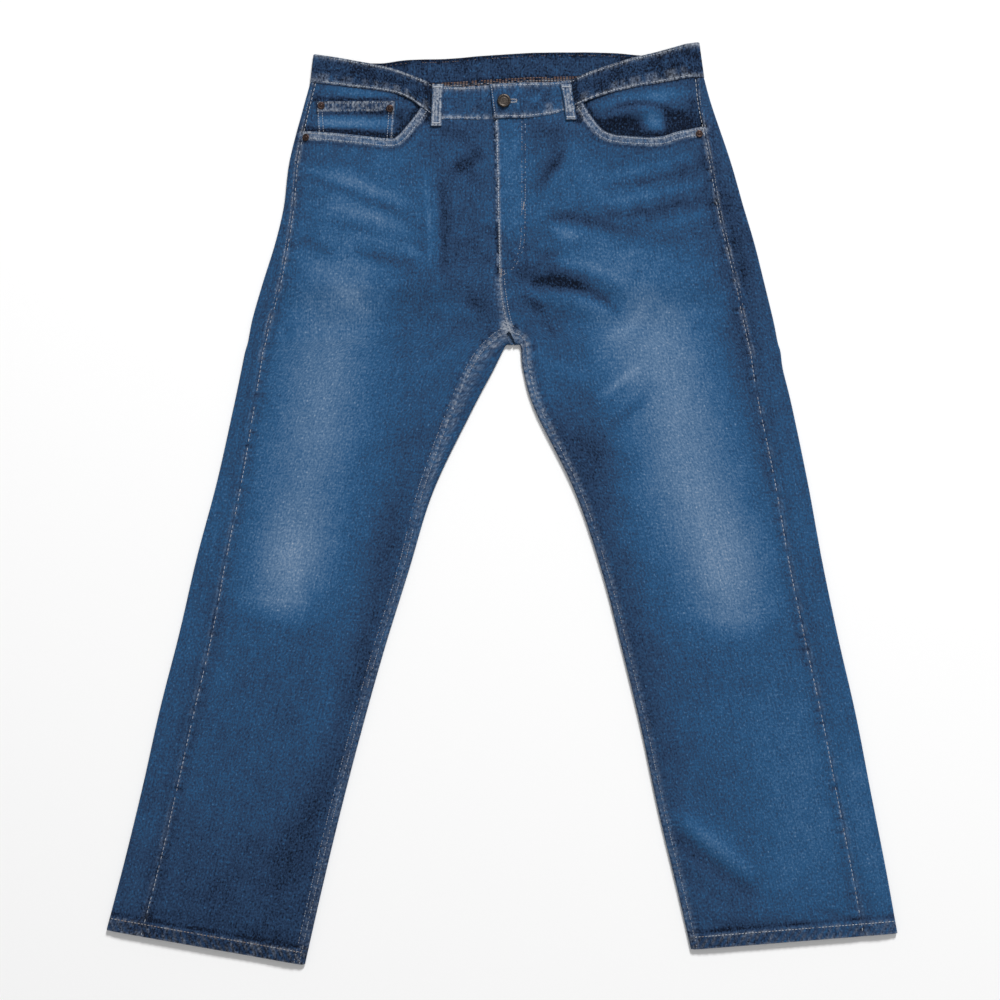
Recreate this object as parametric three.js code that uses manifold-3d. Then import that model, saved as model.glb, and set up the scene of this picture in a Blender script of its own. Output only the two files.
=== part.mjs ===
// Straight leg jeans, lying flat on their back with the front up: every cut and sewn piece
// of cloth, and the metal trim, as closed solids of their own. Millimetres, +Z up.
// +Y points to the waist. The wearer's right is at -X. Z = 0 is the surface they lie on.
import * as THREE from 'three';
import { mergeVertices } from 'three/addons/utils/BufferGeometryUtils.js';
import Module from 'manifold-3d';

// Driving dimensions
const WALL = 1.2; // denim
const BAND_WALL = 2; // waistband, two layers of denim
const LINING_WALL = 1; // pocket cloth and the facings
const LOOP_WALL = 1.6; // belt loops
const SEAM_GAP = 0.3; // between pieces that are sewn together
const FOLD_RADIUS = 2; // middle of the wall where a leg folds over at its edge
const CROWN = 1; // how much higher the middle of a leg is than its edges
const CROWN_REACH = 18; // from the folded edge to the full height
const POCKET_RISE = 3.4; // room for the layers of a front pocket
const LAYER_EASE = 0.4; // more room between layers that aren't sewn flat to each other
const BACK_POCKET_LIFT = WALL + SEAM_GAP; // the panel over a back pocket
const LOOP_LIFT = LOOP_WALL + SEAM_GAP; // the band over a back loop
const HEM_DEPTH = 17; // turned up at the foot of each leg
const HEM_EXTRA = 0.7; // the turned up cloth, pressed
const FLOOR_MID = WALL / 2;
const EDGE_MID = FLOOR_MID + 2 * FOLD_RADIUS;

// Rows across each leg, from the waist down. outer is the folded outline, side is how far
// the side seam lies in from it, seam is the fly line, then the inseam. inner is the
// centre back seam while wrap is 0, and the folded inner outline where wrap is 1.
const RIGHT_STATIONS = [
  { steps: 1, outerX: -239, outerY: 527, side: 5, seamX: -9, seamY: 479, innerX: 2, innerY: 522, wrap: 0 }, // waist
  { steps: 2, outerX: -249, outerY: 491, side: 6, seamX: -8, seamY: 457, innerX: 3, innerY: 454, wrap: 0 }, // yoke
  { steps: 2, outerX: -265, outerY: 429, side: 9, seamX: -7, seamY: 414, innerX: 4, innerY: 417, wrap: 0 }, // pocket
  { steps: 2, outerX: -272, outerY: 373, side: 11, seamX: -6, seamY: 361, innerX: 6, innerY: 363, wrap: 0 }, // hip
  { steps: 2, outerX: -283, outerY: 326, side: 15, seamX: -5, seamY: 311, innerX: 9, innerY: 313, wrap: 0 }, // seat
  { steps: 2, outerX: -298, outerY: 278, side: 21, seamX: -4, seamY: 273, innerX: 11, innerY: 267, wrap: 0 }, // fly end
  { steps: 1, outerX: -310, outerY: 237, side: 22, seamX: 1, seamY: 239, innerX: 12, innerY: 223, wrap: 0 }, // rise
  { steps: 1, outerX: -314, outerY: 219, side: 21, seamX: 5, seamY: 223, innerX: 14, innerY: 206, wrap: 0 },
  { steps: 1, outerX: -316, outerY: 208, side: 21, seamX: 8, seamY: 216, innerX: 13, innerY: 199, wrap: 0.5 }, // fork
  { steps: 1, outerX: -318, outerY: 199, side: 21, seamX: 6, seamY: 213, innerX: 8, innerY: 199, wrap: 1 }, // crotch
  { steps: 1, outerX: -321, outerY: 189, side: 21, seamX: -11, seamY: 201, innerX: 3, innerY: 196, wrap: 1 },
  { steps: 2, outerX: -325, outerY: 169, side: 22, seamX: -32, seamY: 176, innerX: -11, innerY: 168, wrap: 1 },
  { steps: 3, outerX: -335, outerY: 121, side: 24, seamX: -58, seamY: 121, innerX: -38, innerY: 117, wrap: 1 }, // thigh
  { steps: 3, outerX: -356, outerY: 27, side: 29, seamX: -96, seamY: 18, innerX: -86, innerY: 17, wrap: 1 },
  { steps: 3, outerX: -381, outerY: -67, side: 35, seamX: -122, seamY: -83, innerX: -117, innerY: -83, wrap: 1 }, // knee
  { steps: 3, outerX: -403, outerY: -162, side: 39, seamX: -153, seamY: -183, innerX: -148, innerY: -183, wrap: 1 },
  { steps: 3, outerX: -427, outerY: -256, side: 41, seamX: -181, seamY: -283, innerX: -176, innerY: -283, wrap: 1 }, // calf
  { steps: 3, outerX: -448, outerY: -350, side: 41, seamX: -207, seamY: -383, innerX: -202, innerY: -383, wrap: 1 },
  { steps: 3, outerX: -471, outerY: -445, side: 42, seamX: -231, seamY: -483, innerX: -226, innerY: -483, wrap: 1 },
  { steps: 1, outerX: -494, outerY: -532, side: 42, seamX: -252, seamY: -573, innerX: -247, innerY: -573, wrap: 1 }, // hem
];
const LEFT_STATIONS = [
  { steps: 1, outerX: 252, outerY: 533, side: 9, seamX: -9, seamY: 479, innerX: 2, innerY: 522, wrap: 0 }, // waist
  { steps: 2, outerX: 262, outerY: 497, side: 15, seamX: -8, seamY: 457, innerX: 3, innerY: 454, wrap: 0 }, // yoke
  { steps: 2, outerX: 285, outerY: 429, side: 25, seamX: -7, seamY: 414, innerX: 4, innerY: 417, wrap: 0 }, // pocket
  { steps: 2, outerX: 301, outerY: 373, side: 31, seamX: -6, seamY: 361, innerX: 6, innerY: 363, wrap: 0 }, // hip
  { steps: 2, outerX: 315, outerY: 326, side: 34, seamX: -5, seamY: 311, innerX: 9, innerY: 313, wrap: 0 }, // seat
  { steps: 2, outerX: 327, outerY: 278, side: 34, seamX: -4, seamY: 273, innerX: 11, innerY: 267, wrap: 0 }, // fly end
  { steps: 1, outerX: 337, outerY: 237, side: 36, seamX: 1, seamY: 239, innerX: 12, innerY: 223, wrap: 0 }, // rise
  { steps: 1, outerX: 341, outerY: 219, side: 36, seamX: 5, seamY: 223, innerX: 14, innerY: 206, wrap: 0 },
  { steps: 1, outerX: 343, outerY: 208, side: 36, seamX: 8, seamY: 216, innerX: 15, innerY: 199, wrap: 0.5 }, // fork
  { steps: 1, outerX: 345, outerY: 199, side: 36, seamX: 11, seamY: 213, innerX: 19, innerY: 199, wrap: 1 }, // crotch
  { steps: 1, outerX: 348, outerY: 189, side: 36, seamX: 27, seamY: 203, innerX: 24, innerY: 196, wrap: 1 },
  { steps: 2, outerX: 351, outerY: 167, side: 36, seamX: 32, seamY: 169, innerX: 27, innerY: 168, wrap: 1 },
  { steps: 3, outerX: 362, outerY: 122, side: 39, seamX: 47, seamY: 117, innerX: 42, innerY: 117, wrap: 1 }, // thigh
  { steps: 3, outerX: 382, outerY: 26, side: 39, seamX: 96, seamY: 17, innerX: 91, innerY: 17, wrap: 1 },
  { steps: 3, outerX: 400, outerY: -72, side: 40, seamX: 130, seamY: -83, innerX: 125, innerY: -83, wrap: 1 }, // knee
  { steps: 3, outerX: 420, outerY: -168, side: 40, seamX: 156, seamY: -183, innerX: 151, innerY: -183, wrap: 1 },
  { steps: 3, outerX: 442, outerY: -264, side: 41, seamX: 180, seamY: -283, innerX: 175, innerY: -283, wrap: 1 }, // calf
  { steps: 3, outerX: 461, outerY: -362, side: 41, seamX: 201, seamY: -383, innerX: 196, innerY: -383, wrap: 1 },
  { steps: 3, outerX: 480, outerY: -459, side: 41, seamX: 225, seamY: -483, innerX: 220, innerY: -483, wrap: 1 },
  { steps: 1, outerX: 494, outerY: -533, side: 41, seamX: 242, seamY: -552, innerX: 237, innerY: -552, wrap: 1 }, // hem
];

// The waistband's lower edge (the waist seam) and upper edge, in the order it is sewn on.
// The right end runs 30 mm under the left end at the button.
const BAND_FRONT_RIGHT = [
  { seamX: 20, seamY: 484, topX: 20, topY: 524 },
  { seamX: 4, seamY: 484, topX: 4, topY: 523 },
  { seamX: -8, seamY: 481, topX: -8, topY: 523 },
  { seamX: -26, seamY: 480, topX: -27, topY: 521 },
  { seamX: -52, seamY: 480, topX: -52, topY: 520 },
  { seamX: -76, seamY: 480, topX: -76, topY: 521 },
  { seamX: -88, seamY: 485, topX: -88, topY: 524 },
  { seamX: -102, seamY: 496, topX: -102, topY: 530 },
  { seamX: -118, seamY: 507, topX: -118, topY: 536 },
  { seamX: -140, seamY: 514, topX: -142, topY: 544 },
  { seamX: -190, seamY: 521, topX: -190, topY: 554 },
  { seamX: -225, seamY: 525, topX: -220, topY: 559 },
];
const BAND_BACK = [
  { seamX: -225, seamY: 524, topX: -220, topY: 558 },
  { seamX: -190, seamY: 517, topX: -190, topY: 552 },
  { seamX: -152, seamY: 513, topX: -152, topY: 550 },
  { seamX: -120, seamY: 515, topX: -120, topY: 554 },
  { seamX: -70, seamY: 518, topX: -70, topY: 556 },
  { seamX: -15, seamY: 521, topX: -15, topY: 560 },
  { seamX: 60, seamY: 525, topX: 60, topY: 564 },
  { seamX: 136, seamY: 525, topX: 136, topY: 563 },
  { seamX: 190, seamY: 525, topX: 188, topY: 560 },
  { seamX: 236, seamY: 532, topX: 230, topY: 572 },
];
const BAND_FRONT_LEFT = [
  { seamX: 236, seamY: 533, topX: 230, topY: 574 },
  { seamX: 198, seamY: 526, topX: 191, topY: 563 },
  { seamX: 160, seamY: 519, topX: 156, topY: 554 },
  { seamX: 122, seamY: 509, topX: 119, topY: 542 },
  { seamX: 101, seamY: 501, topX: 98, topY: 534 },
  { seamX: 88, seamY: 495, topX: 86, topY: 529 },
  { seamX: 66, seamY: 487, topX: 62, topY: 526 },
  { seamX: 29, seamY: 482, topX: 27, topY: 525 },
  { seamX: 8, seamY: 482, topX: 4, topY: 524 },
  { seamX: -10, seamY: 481, topX: -15, topY: 523 },
];
const BAND_CORNERS = {
  right: { seamX: -239, seamY: 527, topX: -235, topY: 561 },
  left: { seamX: 252, seamY: 533, topX: 246, topY: 576 },
};
const OVERLAP_START = 40; // X where the left end starts to climb onto the right end
const OVERLAP_FULL = 22;

// Front pocket mouths, from the side seam to the waistband
const MOUTH_RIGHT = [[-262, 466], [-190, 460], [-143, 455], [-131, 458], [-118, 472], [-103, 492], [-96, 506]];
const MOUTH_LEFT = [[262, 472], [222, 464], [198, 457], [172, 457], [141, 460], [126, 466], [115, 478], [102, 499], [96, 512]];
const POCKET_ZONE = { centreX: 165, centreY: 374, halfWidth: 92, halfHeight: 96, ramp: 40 };
const LAYER = LINING_WALL + SEAM_GAP + LAYER_EASE;
const BAG_LEVEL = WALL / 2 + SEAM_GAP + LAYER_EASE + LINING_WALL / 2; // above the back panel's middle
const FACING_LEVEL = BAG_LEVEL + LAYER;
const FACINGS = {
  // tuck: how far below the waist seam the facing starts to dip, reach: where it is down,
  // underX and clearX: from where to where it dips under the front panel at its inner end
  right: { sign: -1, innerX: -100, bottomY: 402, tuck: 3, reach: 30, underX: 118, clearX: 140 },
  left: { sign: 1, innerX: 98, bottomY: 405, tuck: 26, reach: 48, underX: 118, clearX: 142 },
};
const GAPE = { x: 182, y: 452, rise: 2.8, radiusX: 80, radiusY: 38 }; // the left pocket stands open
const COIN_POCKET = { left: -232, right: -134, top: 502, bottom: 440, taper: 4 };
const BAGS = {
  right: { sign: -1, innerX: 84, outerX: 244, topY: 449, bottomY: 272, climb: 18 },
  left: { sign: 1, innerX: 84, outerX: 244, topY: 445, bottomY: 274, climb: 12 },
};
const BACK_POCKETS = {
  right: { x: -112, tilt: -4 },
  left: { x: 124, tilt: 4 },
};
const BACK_POCKET = { width: 158, topY: 438, side: 132, tip: 168, taper: 8 };
const BACK_POCKET_ZONE = { centreX: 118, centreY: 354, halfWidth: 100, halfHeight: 106, ramp: 28 };

const FRONT_LOOPS = {
  right: { topX: -80, topY: 523, footX: -82, footY: 471, width: 12 },
  left: { topX: 80, topY: 523, footX: 86, footY: 479, width: 12 },
};
const BACK_LOOPS = {
  right: { topX: -130, topY: 551, footX: -130, footY: 508, width: 12 },
  centre: { topX: 3, topY: 559, footX: 3, footY: 515, width: 12 },
  left: { topX: 140, topY: 561, footX: 140, footY: 518, width: 12 },
};
const LOOP_ARCH = 0.8;
const LOOP_ZONE = { halfWidth: 32, ramp: 24, low: 473 };

const ZIP = { width: 26, topY: 477, bottomY: 284, wall: 1.2 };
const BUTTON = { x: 2.5, y: 502.5, radius: 8.5, height: 3, shank: 2, holeLength: 22, holeWidth: 5 };
const RIVET_RADIUS = 4.6;
const RIVET_HEIGHT = 1.6;
const RIVET_EASE = 0.15; // for the bend of the cloth under it
const RIVETS = {
  rivet_coin_outer: { x: -226, y: 497, on: 'coin' },
  rivet_coin_inner: { x: -140, y: 493, on: 'coin' },
  rivet_right: { x: -245, y: 457, on: 'front' },
  rivet_left: { x: 246, y: 461, on: 'front' },
};

// The largest folds, as quadratic curves from 0 through 1 to 2. A trough has a negative height.
const FOLDS = [
  { x0: 18, y0: 275, x1: 98, y1: 282, x2: 152, y2: 246, width: 11, height: -1.8 }, // under the fly
  { x0: 30, y0: 258, x1: 98, y1: 262, x2: 140, y2: 228, width: 11, height: 1.4 }, // roll below it
  { x0: 12, y0: 255, x1: 30, y1: 247, x2: 52, y2: 238, width: 9, height: -1.2 }, // crotch
  { x0: -130, y0: 42, x1: -160, y1: -171, x2: -205, y2: -296, width: 18, height: -1.2 }, // along the inseam
  { x0: -205, y0: -296, x1: -238, y1: -396, x2: -295, y2: -493, width: 18, height: -1.2 },
  { x0: -190, y0: -333, x1: -215, y1: -421, x2: -252, y2: -502, width: 14, height: 0.8 },
  { x0: 202, y0: -401, x1: 255, y1: -448, x2: 330, y2: -501, width: 12, height: -1.6 }, // left shin
  { x0: 212, y0: -386, x1: 262, y1: -423, x2: 318, y2: -471, width: 13, height: 2.2 }, // roll above it
  { x0: 218, y0: -448, x1: 254, y1: -486, x2: 298, y2: -506, width: 10, height: -0.8 },
];

const mix = (a, b, t) => a + (b - a) * t;
const clamp01 = (t) => Math.min(1, Math.max(0, t));
function smooth(t) {
  const c = clamp01(t);
  return c * c * (3 - 2 * c);
}

// One inside the zone, falling to 0 over its ramp.
function plateau(distance, half, ramp) {
  return 1 - smooth((Math.abs(distance) - half) / ramp);
}

// A smooth curve through four values, at t between the middle two.
function spline(a, b, c, d, t) {
  const slopeB = (c - a) / 2;
  const slopeC = (d - b) / 2;
  const t2 = t * t;
  const t3 = t2 * t;
  return (2 * t3 - 3 * t2 + 1) * b + (t3 - 2 * t2 + t) * slopeB + (3 * t2 - 2 * t3) * c + (t3 - t2) * slopeC;
}

function refine(rows, stepsOf) {
  const fine = [];
  rows.forEach((row, i) => {
    const before = rows[Math.max(i - 1, 0)];
    const next = rows[Math.min(i + 1, rows.length - 1)];
    const after = rows[Math.min(i + 2, rows.length - 1)];
    const steps = i === rows.length - 1 ? 1 : stepsOf(row);
    for (let k = 0; k < steps; k++) {
      const made = { station: i + k / steps };
      for (const key of Object.keys(row)) {
        made[key] = spline(before[key], row[key], next[key], after[key], k / steps);
      }
      fine.push(made);
    }
  });
  return fine;
}

function distanceTo(line, x, y) {
  let best = Infinity;
  for (let i = 1; i < line.length; i++) {
    const [ax, ay] = line[i - 1];
    const dx = line[i][0] - ax;
    const dy = line[i][1] - ay;
    const t = clamp01(((x - ax) * dx + (y - ay) * dy) / (dx * dx + dy * dy));
    best = Math.min(best, Math.hypot(x - ax - t * dx, y - ay - t * dy));
  }
  return best;
}

const right = refine(RIGHT_STATIONS, (row) => row.steps);
const left = refine(LEFT_STATIONS, (row) => row.steps);
const OUTER_LINES = [
  [[-235, 561], ...right.map((row) => [row.outerX, row.outerY])],
  [[246, 576], ...left.map((row) => [row.outerX, row.outerY])],
];
const folded = (rows) => rows.filter((row) => row.wrap > 0).map((row) => [row.innerX, row.innerY]);
const FORK_LINE = [...folded(right).reverse(), ...folded(left).slice(1)];

const foldLines = FOLDS.map((fold) => {
  const curve = new THREE.QuadraticBezierCurve(
    new THREE.Vector2(fold.x0, fold.y0),
    new THREE.Vector2(fold.x1, fold.y1),
    new THREE.Vector2(fold.x2, fold.y2),
  );
  return curve.getPoints(10);
});

// Height that the folds add: a bell across each fold, fading towards its two ends.
function foldHeight(x, y) {
  let sum = 0;
  FOLDS.forEach((fold, f) => {
    const line = foldLines[f];
    let best = Infinity;
    let along = 0;
    line.forEach((p, i) => {
      const d = Math.hypot(x - p.x, y - p.y);
      if (d < best) {
        best = d;
        along = i / (line.length - 1);
      }
    });
    const fade = Math.sqrt(Math.max(Math.sin(Math.PI * along), 0));
    sum += fold.height * fade * Math.exp(-((best / fold.width) ** 2));
  });
  return sum;
}

const zoneAt = (zone, x, y) =>
  plateau(Math.abs(x) - zone.centreX, zone.halfWidth, zone.ramp) *
  plateau(y - zone.centreY, zone.halfHeight, zone.ramp);

// How far the back layer is raised off the floor by what is sewn on its outside.
function lift(x, y) {
  let raised = BACK_POCKET_LIFT * zoneAt(BACK_POCKET_ZONE, x, y);
  for (const loop of Object.values(BACK_LOOPS)) {
    const near = plateau(x - loop.topX, LOOP_ZONE.halfWidth, LOOP_ZONE.ramp);
    raised = Math.max(raised, LOOP_LIFT * near * smooth((y - LOOP_ZONE.low) / LOOP_ZONE.ramp));
  }
  return raised;
}

const bottom = (x, y) => FLOOR_MID + lift(x, y);

// Middle of the front layer: level with the folded edges, higher inside them.
function top(x, y) {
  const fromOuter = Math.min(...OUTER_LINES.map((line) => distanceTo(line, x, y))) - FOLD_RADIUS;
  const fromFork = distanceTo(FORK_LINE, x, y) - FOLD_RADIUS;
  const inside = smooth(fromOuter / CROWN_REACH) * smooth(fromFork / CROWN_REACH);
  const gape = GAPE.rise * Math.exp(-(((x - GAPE.x) / GAPE.radiusX) ** 2) - ((y - GAPE.y) / GAPE.radiusY) ** 2);
  const rise = CROWN + POCKET_RISE * zoneAt(POCKET_ZONE, x, y) + lift(x, y) + gape + foldHeight(x, y);
  return EDGE_MID + inside * rise;
}

// Moves the edge rows and columns of a grid of points in by half a seam gap.
function pullIn(grid, sides) {
  const moveTowards = (p, q) => p.add(q.clone().sub(p).setLength(SEAM_GAP / 2));
  const last = grid.length - 1;
  const end = grid[0].length - 1;
  if (sides.includes('first')) grid[0].forEach((p, j) => moveTowards(p, grid[1][j]));
  if (sides.includes('last')) grid[last].forEach((p, j) => moveTowards(p, grid[last - 1][j]));
  if (sides.includes('start')) grid.forEach((row) => moveTowards(row[0], row[1]));
  if (sides.includes('end')) grid.forEach((row) => moveTowards(row[end], row[end - 1]));
  return grid;
}

const UPRIGHT = 0.8;

// A closed wall around a grid of points in its middle. thickness may be a function of the
// row and column that gives the wall's reach to each side, [along the normal, against it].
function wallGeometry(grid, thickness) {
  const rows = grid.length;
  const columns = grid[0].length;
  const reach = typeof thickness === 'function' ? thickness : () => [thickness / 2, thickness / 2];
  const outside = [];
  const inside = [];
  for (let i = 0; i < rows; i++) {
    for (let j = 0; j < columns; j++) {
      const down = grid[Math.min(i + 1, rows - 1)][j].clone().sub(grid[Math.max(i - 1, 0)][j]);
      const across = grid[i][Math.min(j + 1, columns - 1)].clone().sub(grid[i][Math.max(j - 1, 0)]);
      const normal = down.cross(across).normalize();
      // Layers that lie flat are as thick straight up, so their cut edges stand upright.
      if (Math.abs(normal.z) > UPRIGHT) normal.set(0, 0, Math.sign(normal.z));
      const [up, back] = reach(i, j);
      outside.push(grid[i][j].clone().addScaledVector(normal, up));
      inside.push(grid[i][j].clone().addScaledVector(normal, -back));
    }
  }
  const points = [...outside, ...inside];
  const count = rows * columns;
  const at = (i, j, side) => side * count + i * columns + j;
  const faces = [];
  const quad = (a, b, c, d) => faces.push(a, b, c, a, c, d);
  for (let i = 0; i < rows - 1; i++) {
    for (let j = 0; j < columns - 1; j++) {
      quad(at(i, j, 0), at(i + 1, j, 0), at(i + 1, j + 1, 0), at(i, j + 1, 0));
      quad(at(i, j, 1), at(i, j + 1, 1), at(i + 1, j + 1, 1), at(i + 1, j, 1));
    }
  }
  for (let i = 0; i < rows - 1; i++) {
    quad(at(i, 0, 0), at(i, 0, 1), at(i + 1, 0, 1), at(i + 1, 0, 0));
    quad(at(i, columns - 1, 0), at(i + 1, columns - 1, 0), at(i + 1, columns - 1, 1), at(i, columns - 1, 1));
  }
  for (let j = 0; j < columns - 1; j++) {
    quad(at(0, j, 0), at(0, j + 1, 0), at(0, j + 1, 1), at(0, j, 1));
    quad(at(rows - 1, j, 0), at(rows - 1, j, 1), at(rows - 1, j + 1, 1), at(rows - 1, j + 1, 0));
  }
  const geometry = new THREE.BufferGeometry();
  geometry.setAttribute('position', new THREE.Float32BufferAttribute(points.flatMap((p) => [p.x, p.y, p.z]), 3));
  geometry.setIndex(volumeOf(points, faces) < 0 ? faces.reverse() : faces);
  geometry.computeVertexNormals();
  return geometry;
}

function volumeOf(points, faces) {
  let sum = 0;
  for (let i = 0; i < faces.length; i += 3) {
    const [a, b, c] = [points[faces[i]], points[faces[i + 1]], points[faces[i + 2]]];
    sum += a.dot(b.clone().cross(c));
  }
  return sum / 6;
}

const wasm = await Module();
wasm.setup();

function toSolid(geometry) {
  const bare = geometry.clone();
  bare.deleteAttribute('normal');
  bare.deleteAttribute('uv');
  const merged = mergeVertices(bare, 1e-4);
  return new wasm.Manifold(new wasm.Mesh({
    numProp: 3,
    vertProperties: merged.attributes.position.array,
    triVerts: new Uint32Array(merged.index.array),
  }));
}

function fromSolid(solid) {
  const mesh = solid.getMesh();
  const geometry = new THREE.BufferGeometry();
  geometry.setAttribute('position', new THREE.Float32BufferAttribute(mesh.vertProperties, 3));
  geometry.setIndex([...mesh.triVerts]);
  geometry.computeVertexNormals();
  return geometry;
}

const cut = (geometry, tool) => fromSolid(toSolid(geometry).subtract(toSolid(tool)));

// An upright prism over a closed outline, taller than the garment is thick.
function prism(points) {
  const shape = new THREE.Shape(points.map(([x, y]) => new THREE.Vector2(x, y)));
  return new THREE.ExtrudeGeometry(shape, { depth: 60, bevelEnabled: false }).translate(0, 0, -20);
}

const jeans = new THREE.Group();
const cloth = (color) => new THREE.MeshStandardMaterial({ color, roughness: 0.9, metalness: 0 });
const DENIM = '#3f5270';
const DENIM_DARK = '#35465f';
const POCKET_CLOTH = '#c9c6bb';
const METAL = '#6a5a4c';

function add(name, geometry, material) {
  const mesh = new THREE.Mesh(geometry, material);
  mesh.name = name;
  jeans.add(mesh);
}

// Plan points of one row
function rowEnds(row) {
  const outer = new THREE.Vector2(row.outerX, row.outerY);
  const seam = new THREE.Vector2(row.seamX, row.seamY);
  const inner = new THREE.Vector2(row.innerX, row.innerY);
  const side = outer.clone().add(seam.clone().sub(outer).setLength(row.side));
  return { outer, seam, inner, side };
}

const onTop = (p) => new THREE.Vector3(p.x, p.y, top(p.x, p.y));
const onFloor = (p) => new THREE.Vector3(p.x, p.y, bottom(p.x, p.y));

// Height of a band edge at x, straight between the rows of its table.
function edgeAt(table, keyX, keyY, x) {
  const rows = [...table].sort((a, b) => a[keyX] - b[keyX]);
  if (x <= rows[0][keyX]) return rows[0][keyY];
  for (let i = 1; i < rows.length; i++) {
    if (x <= rows[i][keyX]) {
      const t = (x - rows[i - 1][keyX]) / (rows[i][keyX] - rows[i - 1][keyX]);
      return mix(rows[i - 1][keyY], rows[i][keyY], t);
    }
  }
  return rows[rows.length - 1][keyY];
}

const FRONT_COLUMNS = 10;
const PULL_STATIONS = 3; // the waist seam's own line fades out over this many stations
const PULL_START = 0.12; // part of the row next to the side seam that stays in place
const WAIST_ALLOWANCE = 5; // panels run this far past the waist seam before they are cut

// Shifts the rows near the waist onto the line of the waist seam. from and to are the
// ends of the straight line that the seam's own line replaces.
function toWaistSeam(point, row, from, to, table) {
  const t = clamp01((point.x - from.x) / (to.x - from.x));
  const fade = 1 - smooth(row.station / PULL_STATIONS);
  const bulge = edgeAt(table, 'seamX', 'seamY', point.x) - mix(from.y, to.y, t);
  point.y += (bulge + WAIST_ALLOWANCE) * fade * smooth(t / PULL_START);
}

const sideOfBand = {
  right: [BAND_CORNERS.right, ...BAND_FRONT_RIGHT],
  left: [BAND_CORNERS.left, ...BAND_FRONT_LEFT],
};
const backOfBand = [BAND_CORNERS.right, ...BAND_BACK, BAND_CORNERS.left];

function frontGrid(rows, side) {
  const waist = rowEnds(rows[0]);
  return rows.map((row) => {
    const ends = rowEnds(row);
    const points = [];
    for (let j = 0; j <= FRONT_COLUMNS; j++) {
      const p = ends.side.clone().lerp(ends.seam, j / FRONT_COLUMNS);
      if (row.station < PULL_STATIONS) {
        toWaistSeam(p, row, waist.outer, waist.seam, sideOfBand[side]);
      }
      points.push(onTop(p));
    }
    return points;
  });
}

const TOP_COLUMNS = 2;
const ARC_COLUMNS = 4;
const FLOOR_COLUMNS = 10;
const INNER_COLUMNS = 2;
const LOOSE_END = 2; // last of the wall before the centre back seam
const FLOOR_ARC = 4; // the same wall's length where it doesn't fold up yet

function backGrid(rows, waist) {
  return rows.map((row) => {
    const { outer, seam, inner, side } = rowEnds(row);
    const points = [];
    const inwards = side.clone().sub(outer).normalize();
    const foldStart = outer.clone().addScaledVector(inwards, FOLD_RADIUS);
    for (let j = 0; j < TOP_COLUMNS; j++) {
      points.push(onTop(side.clone().lerp(foldStart, j / TOP_COLUMNS)));
    }
    const foldMid = FLOOR_MID + FOLD_RADIUS;
    for (let j = 0; j < ARC_COLUMNS; j++) {
      const angle = (Math.PI * j) / ARC_COLUMNS;
      const p = foldStart.clone().addScaledVector(inwards, -FOLD_RADIUS * Math.sin(angle));
      points.push(new THREE.Vector3(p.x, p.y, foldMid + FOLD_RADIUS * Math.cos(angle)));
    }
    const outwards = row.wrap > 0 ? inner.clone().sub(seam).normalize() : inner.clone().sub(foldStart).normalize();
    const turn = row.wrap * Math.PI;
    const bend = row.wrap > 0 ? FOLD_RADIUS * Math.sin(Math.min(turn, Math.PI / 2)) : FLOOR_ARC + LOOSE_END;
    const lastFloor = inner.clone().addScaledVector(outwards, -bend);
    for (let j = 0; j < FLOOR_COLUMNS; j++) {
      const p = foldStart.clone().lerp(lastFloor, j / FLOOR_COLUMNS);
      if (row.station < PULL_STATIONS) {
        toWaistSeam(p, row, waist.outer, waist.inner, backOfBand);
      }
      points.push(onFloor(p));
    }
    for (let j = 0; j <= ARC_COLUMNS; j++) {
      const angle = (turn * j) / ARC_COLUMNS;
      const reach = row.wrap > 0 ? FOLD_RADIUS * Math.sin(angle) : (FLOOR_ARC * j) / ARC_COLUMNS;
      const p = lastFloor.clone().addScaledVector(outwards, reach);
      const z = row.wrap > 0 ? FLOOR_MID + FOLD_RADIUS * (1 - Math.cos(angle)) : bottom(p.x, p.y);
      points.push(new THREE.Vector3(p.x, p.y, z));
    }
    const end = points[points.length - 1];
    for (let j = 1; j <= INNER_COLUMNS; j++) {
      const t = j / INNER_COLUMNS;
      if (row.wrap === 1) {
        points.push(onTop(new THREE.Vector2(mix(end.x, seam.x, t), mix(end.y, seam.y, t))));
      } else if (row.wrap > 0) {
        points.push(end.clone().add(new THREE.Vector3(0, 0, LOOSE_END * t * 0.5)));
      } else {
        const p = lastFloor.clone().addScaledVector(outwards, FLOOR_ARC + LOOSE_END * t);
        points.push(onFloor(p));
      }
    }
    return points;
  });
}

// The hem is turned up inside, so the wall is thicker there. inwards is 1 where the grid's
// normals point into the leg and -1 where they point out.
function hemmed(rows, inwards) {
  return (i) => {
    const doubled = i >= rows.length - 2 ? HEM_EXTRA : 0;
    return inwards > 0 ? [WALL / 2 + doubled, WALL / 2] : [WALL / 2, WALL / 2 + doubled];
  };
}

// Adds the row where the hem is turned up.
function withHemRow(rows) {
  const last = rows[rows.length - 1];
  const before = rows[rows.length - 2];
  const t = HEM_DEPTH / Math.hypot(last.outerX - before.outerX, last.outerY - before.outerY);
  const made = {};
  for (const key of Object.keys(last)) made[key] = mix(last[key], before[key], t);
  return [...rows.slice(0, -1), made, last];
}

const FAR = 620; // past every piece
const BETWEEN_LAYERS = 3.6; // height between the back and the front layer at the waist

// What lies above the mouth of a front pocket
function mouthTool(mouth, sign) {
  const curve = new THREE.SplineCurve(mouth.map(([x, y]) => new THREE.Vector2(x, y)));
  const line = curve.getPoints(18).map((p) => [p.x, p.y]);
  return prism([...line, [line[line.length - 1][0], FAR], [sign * FAR, FAR], [sign * FAR, line[0][1]]]);
}

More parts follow.
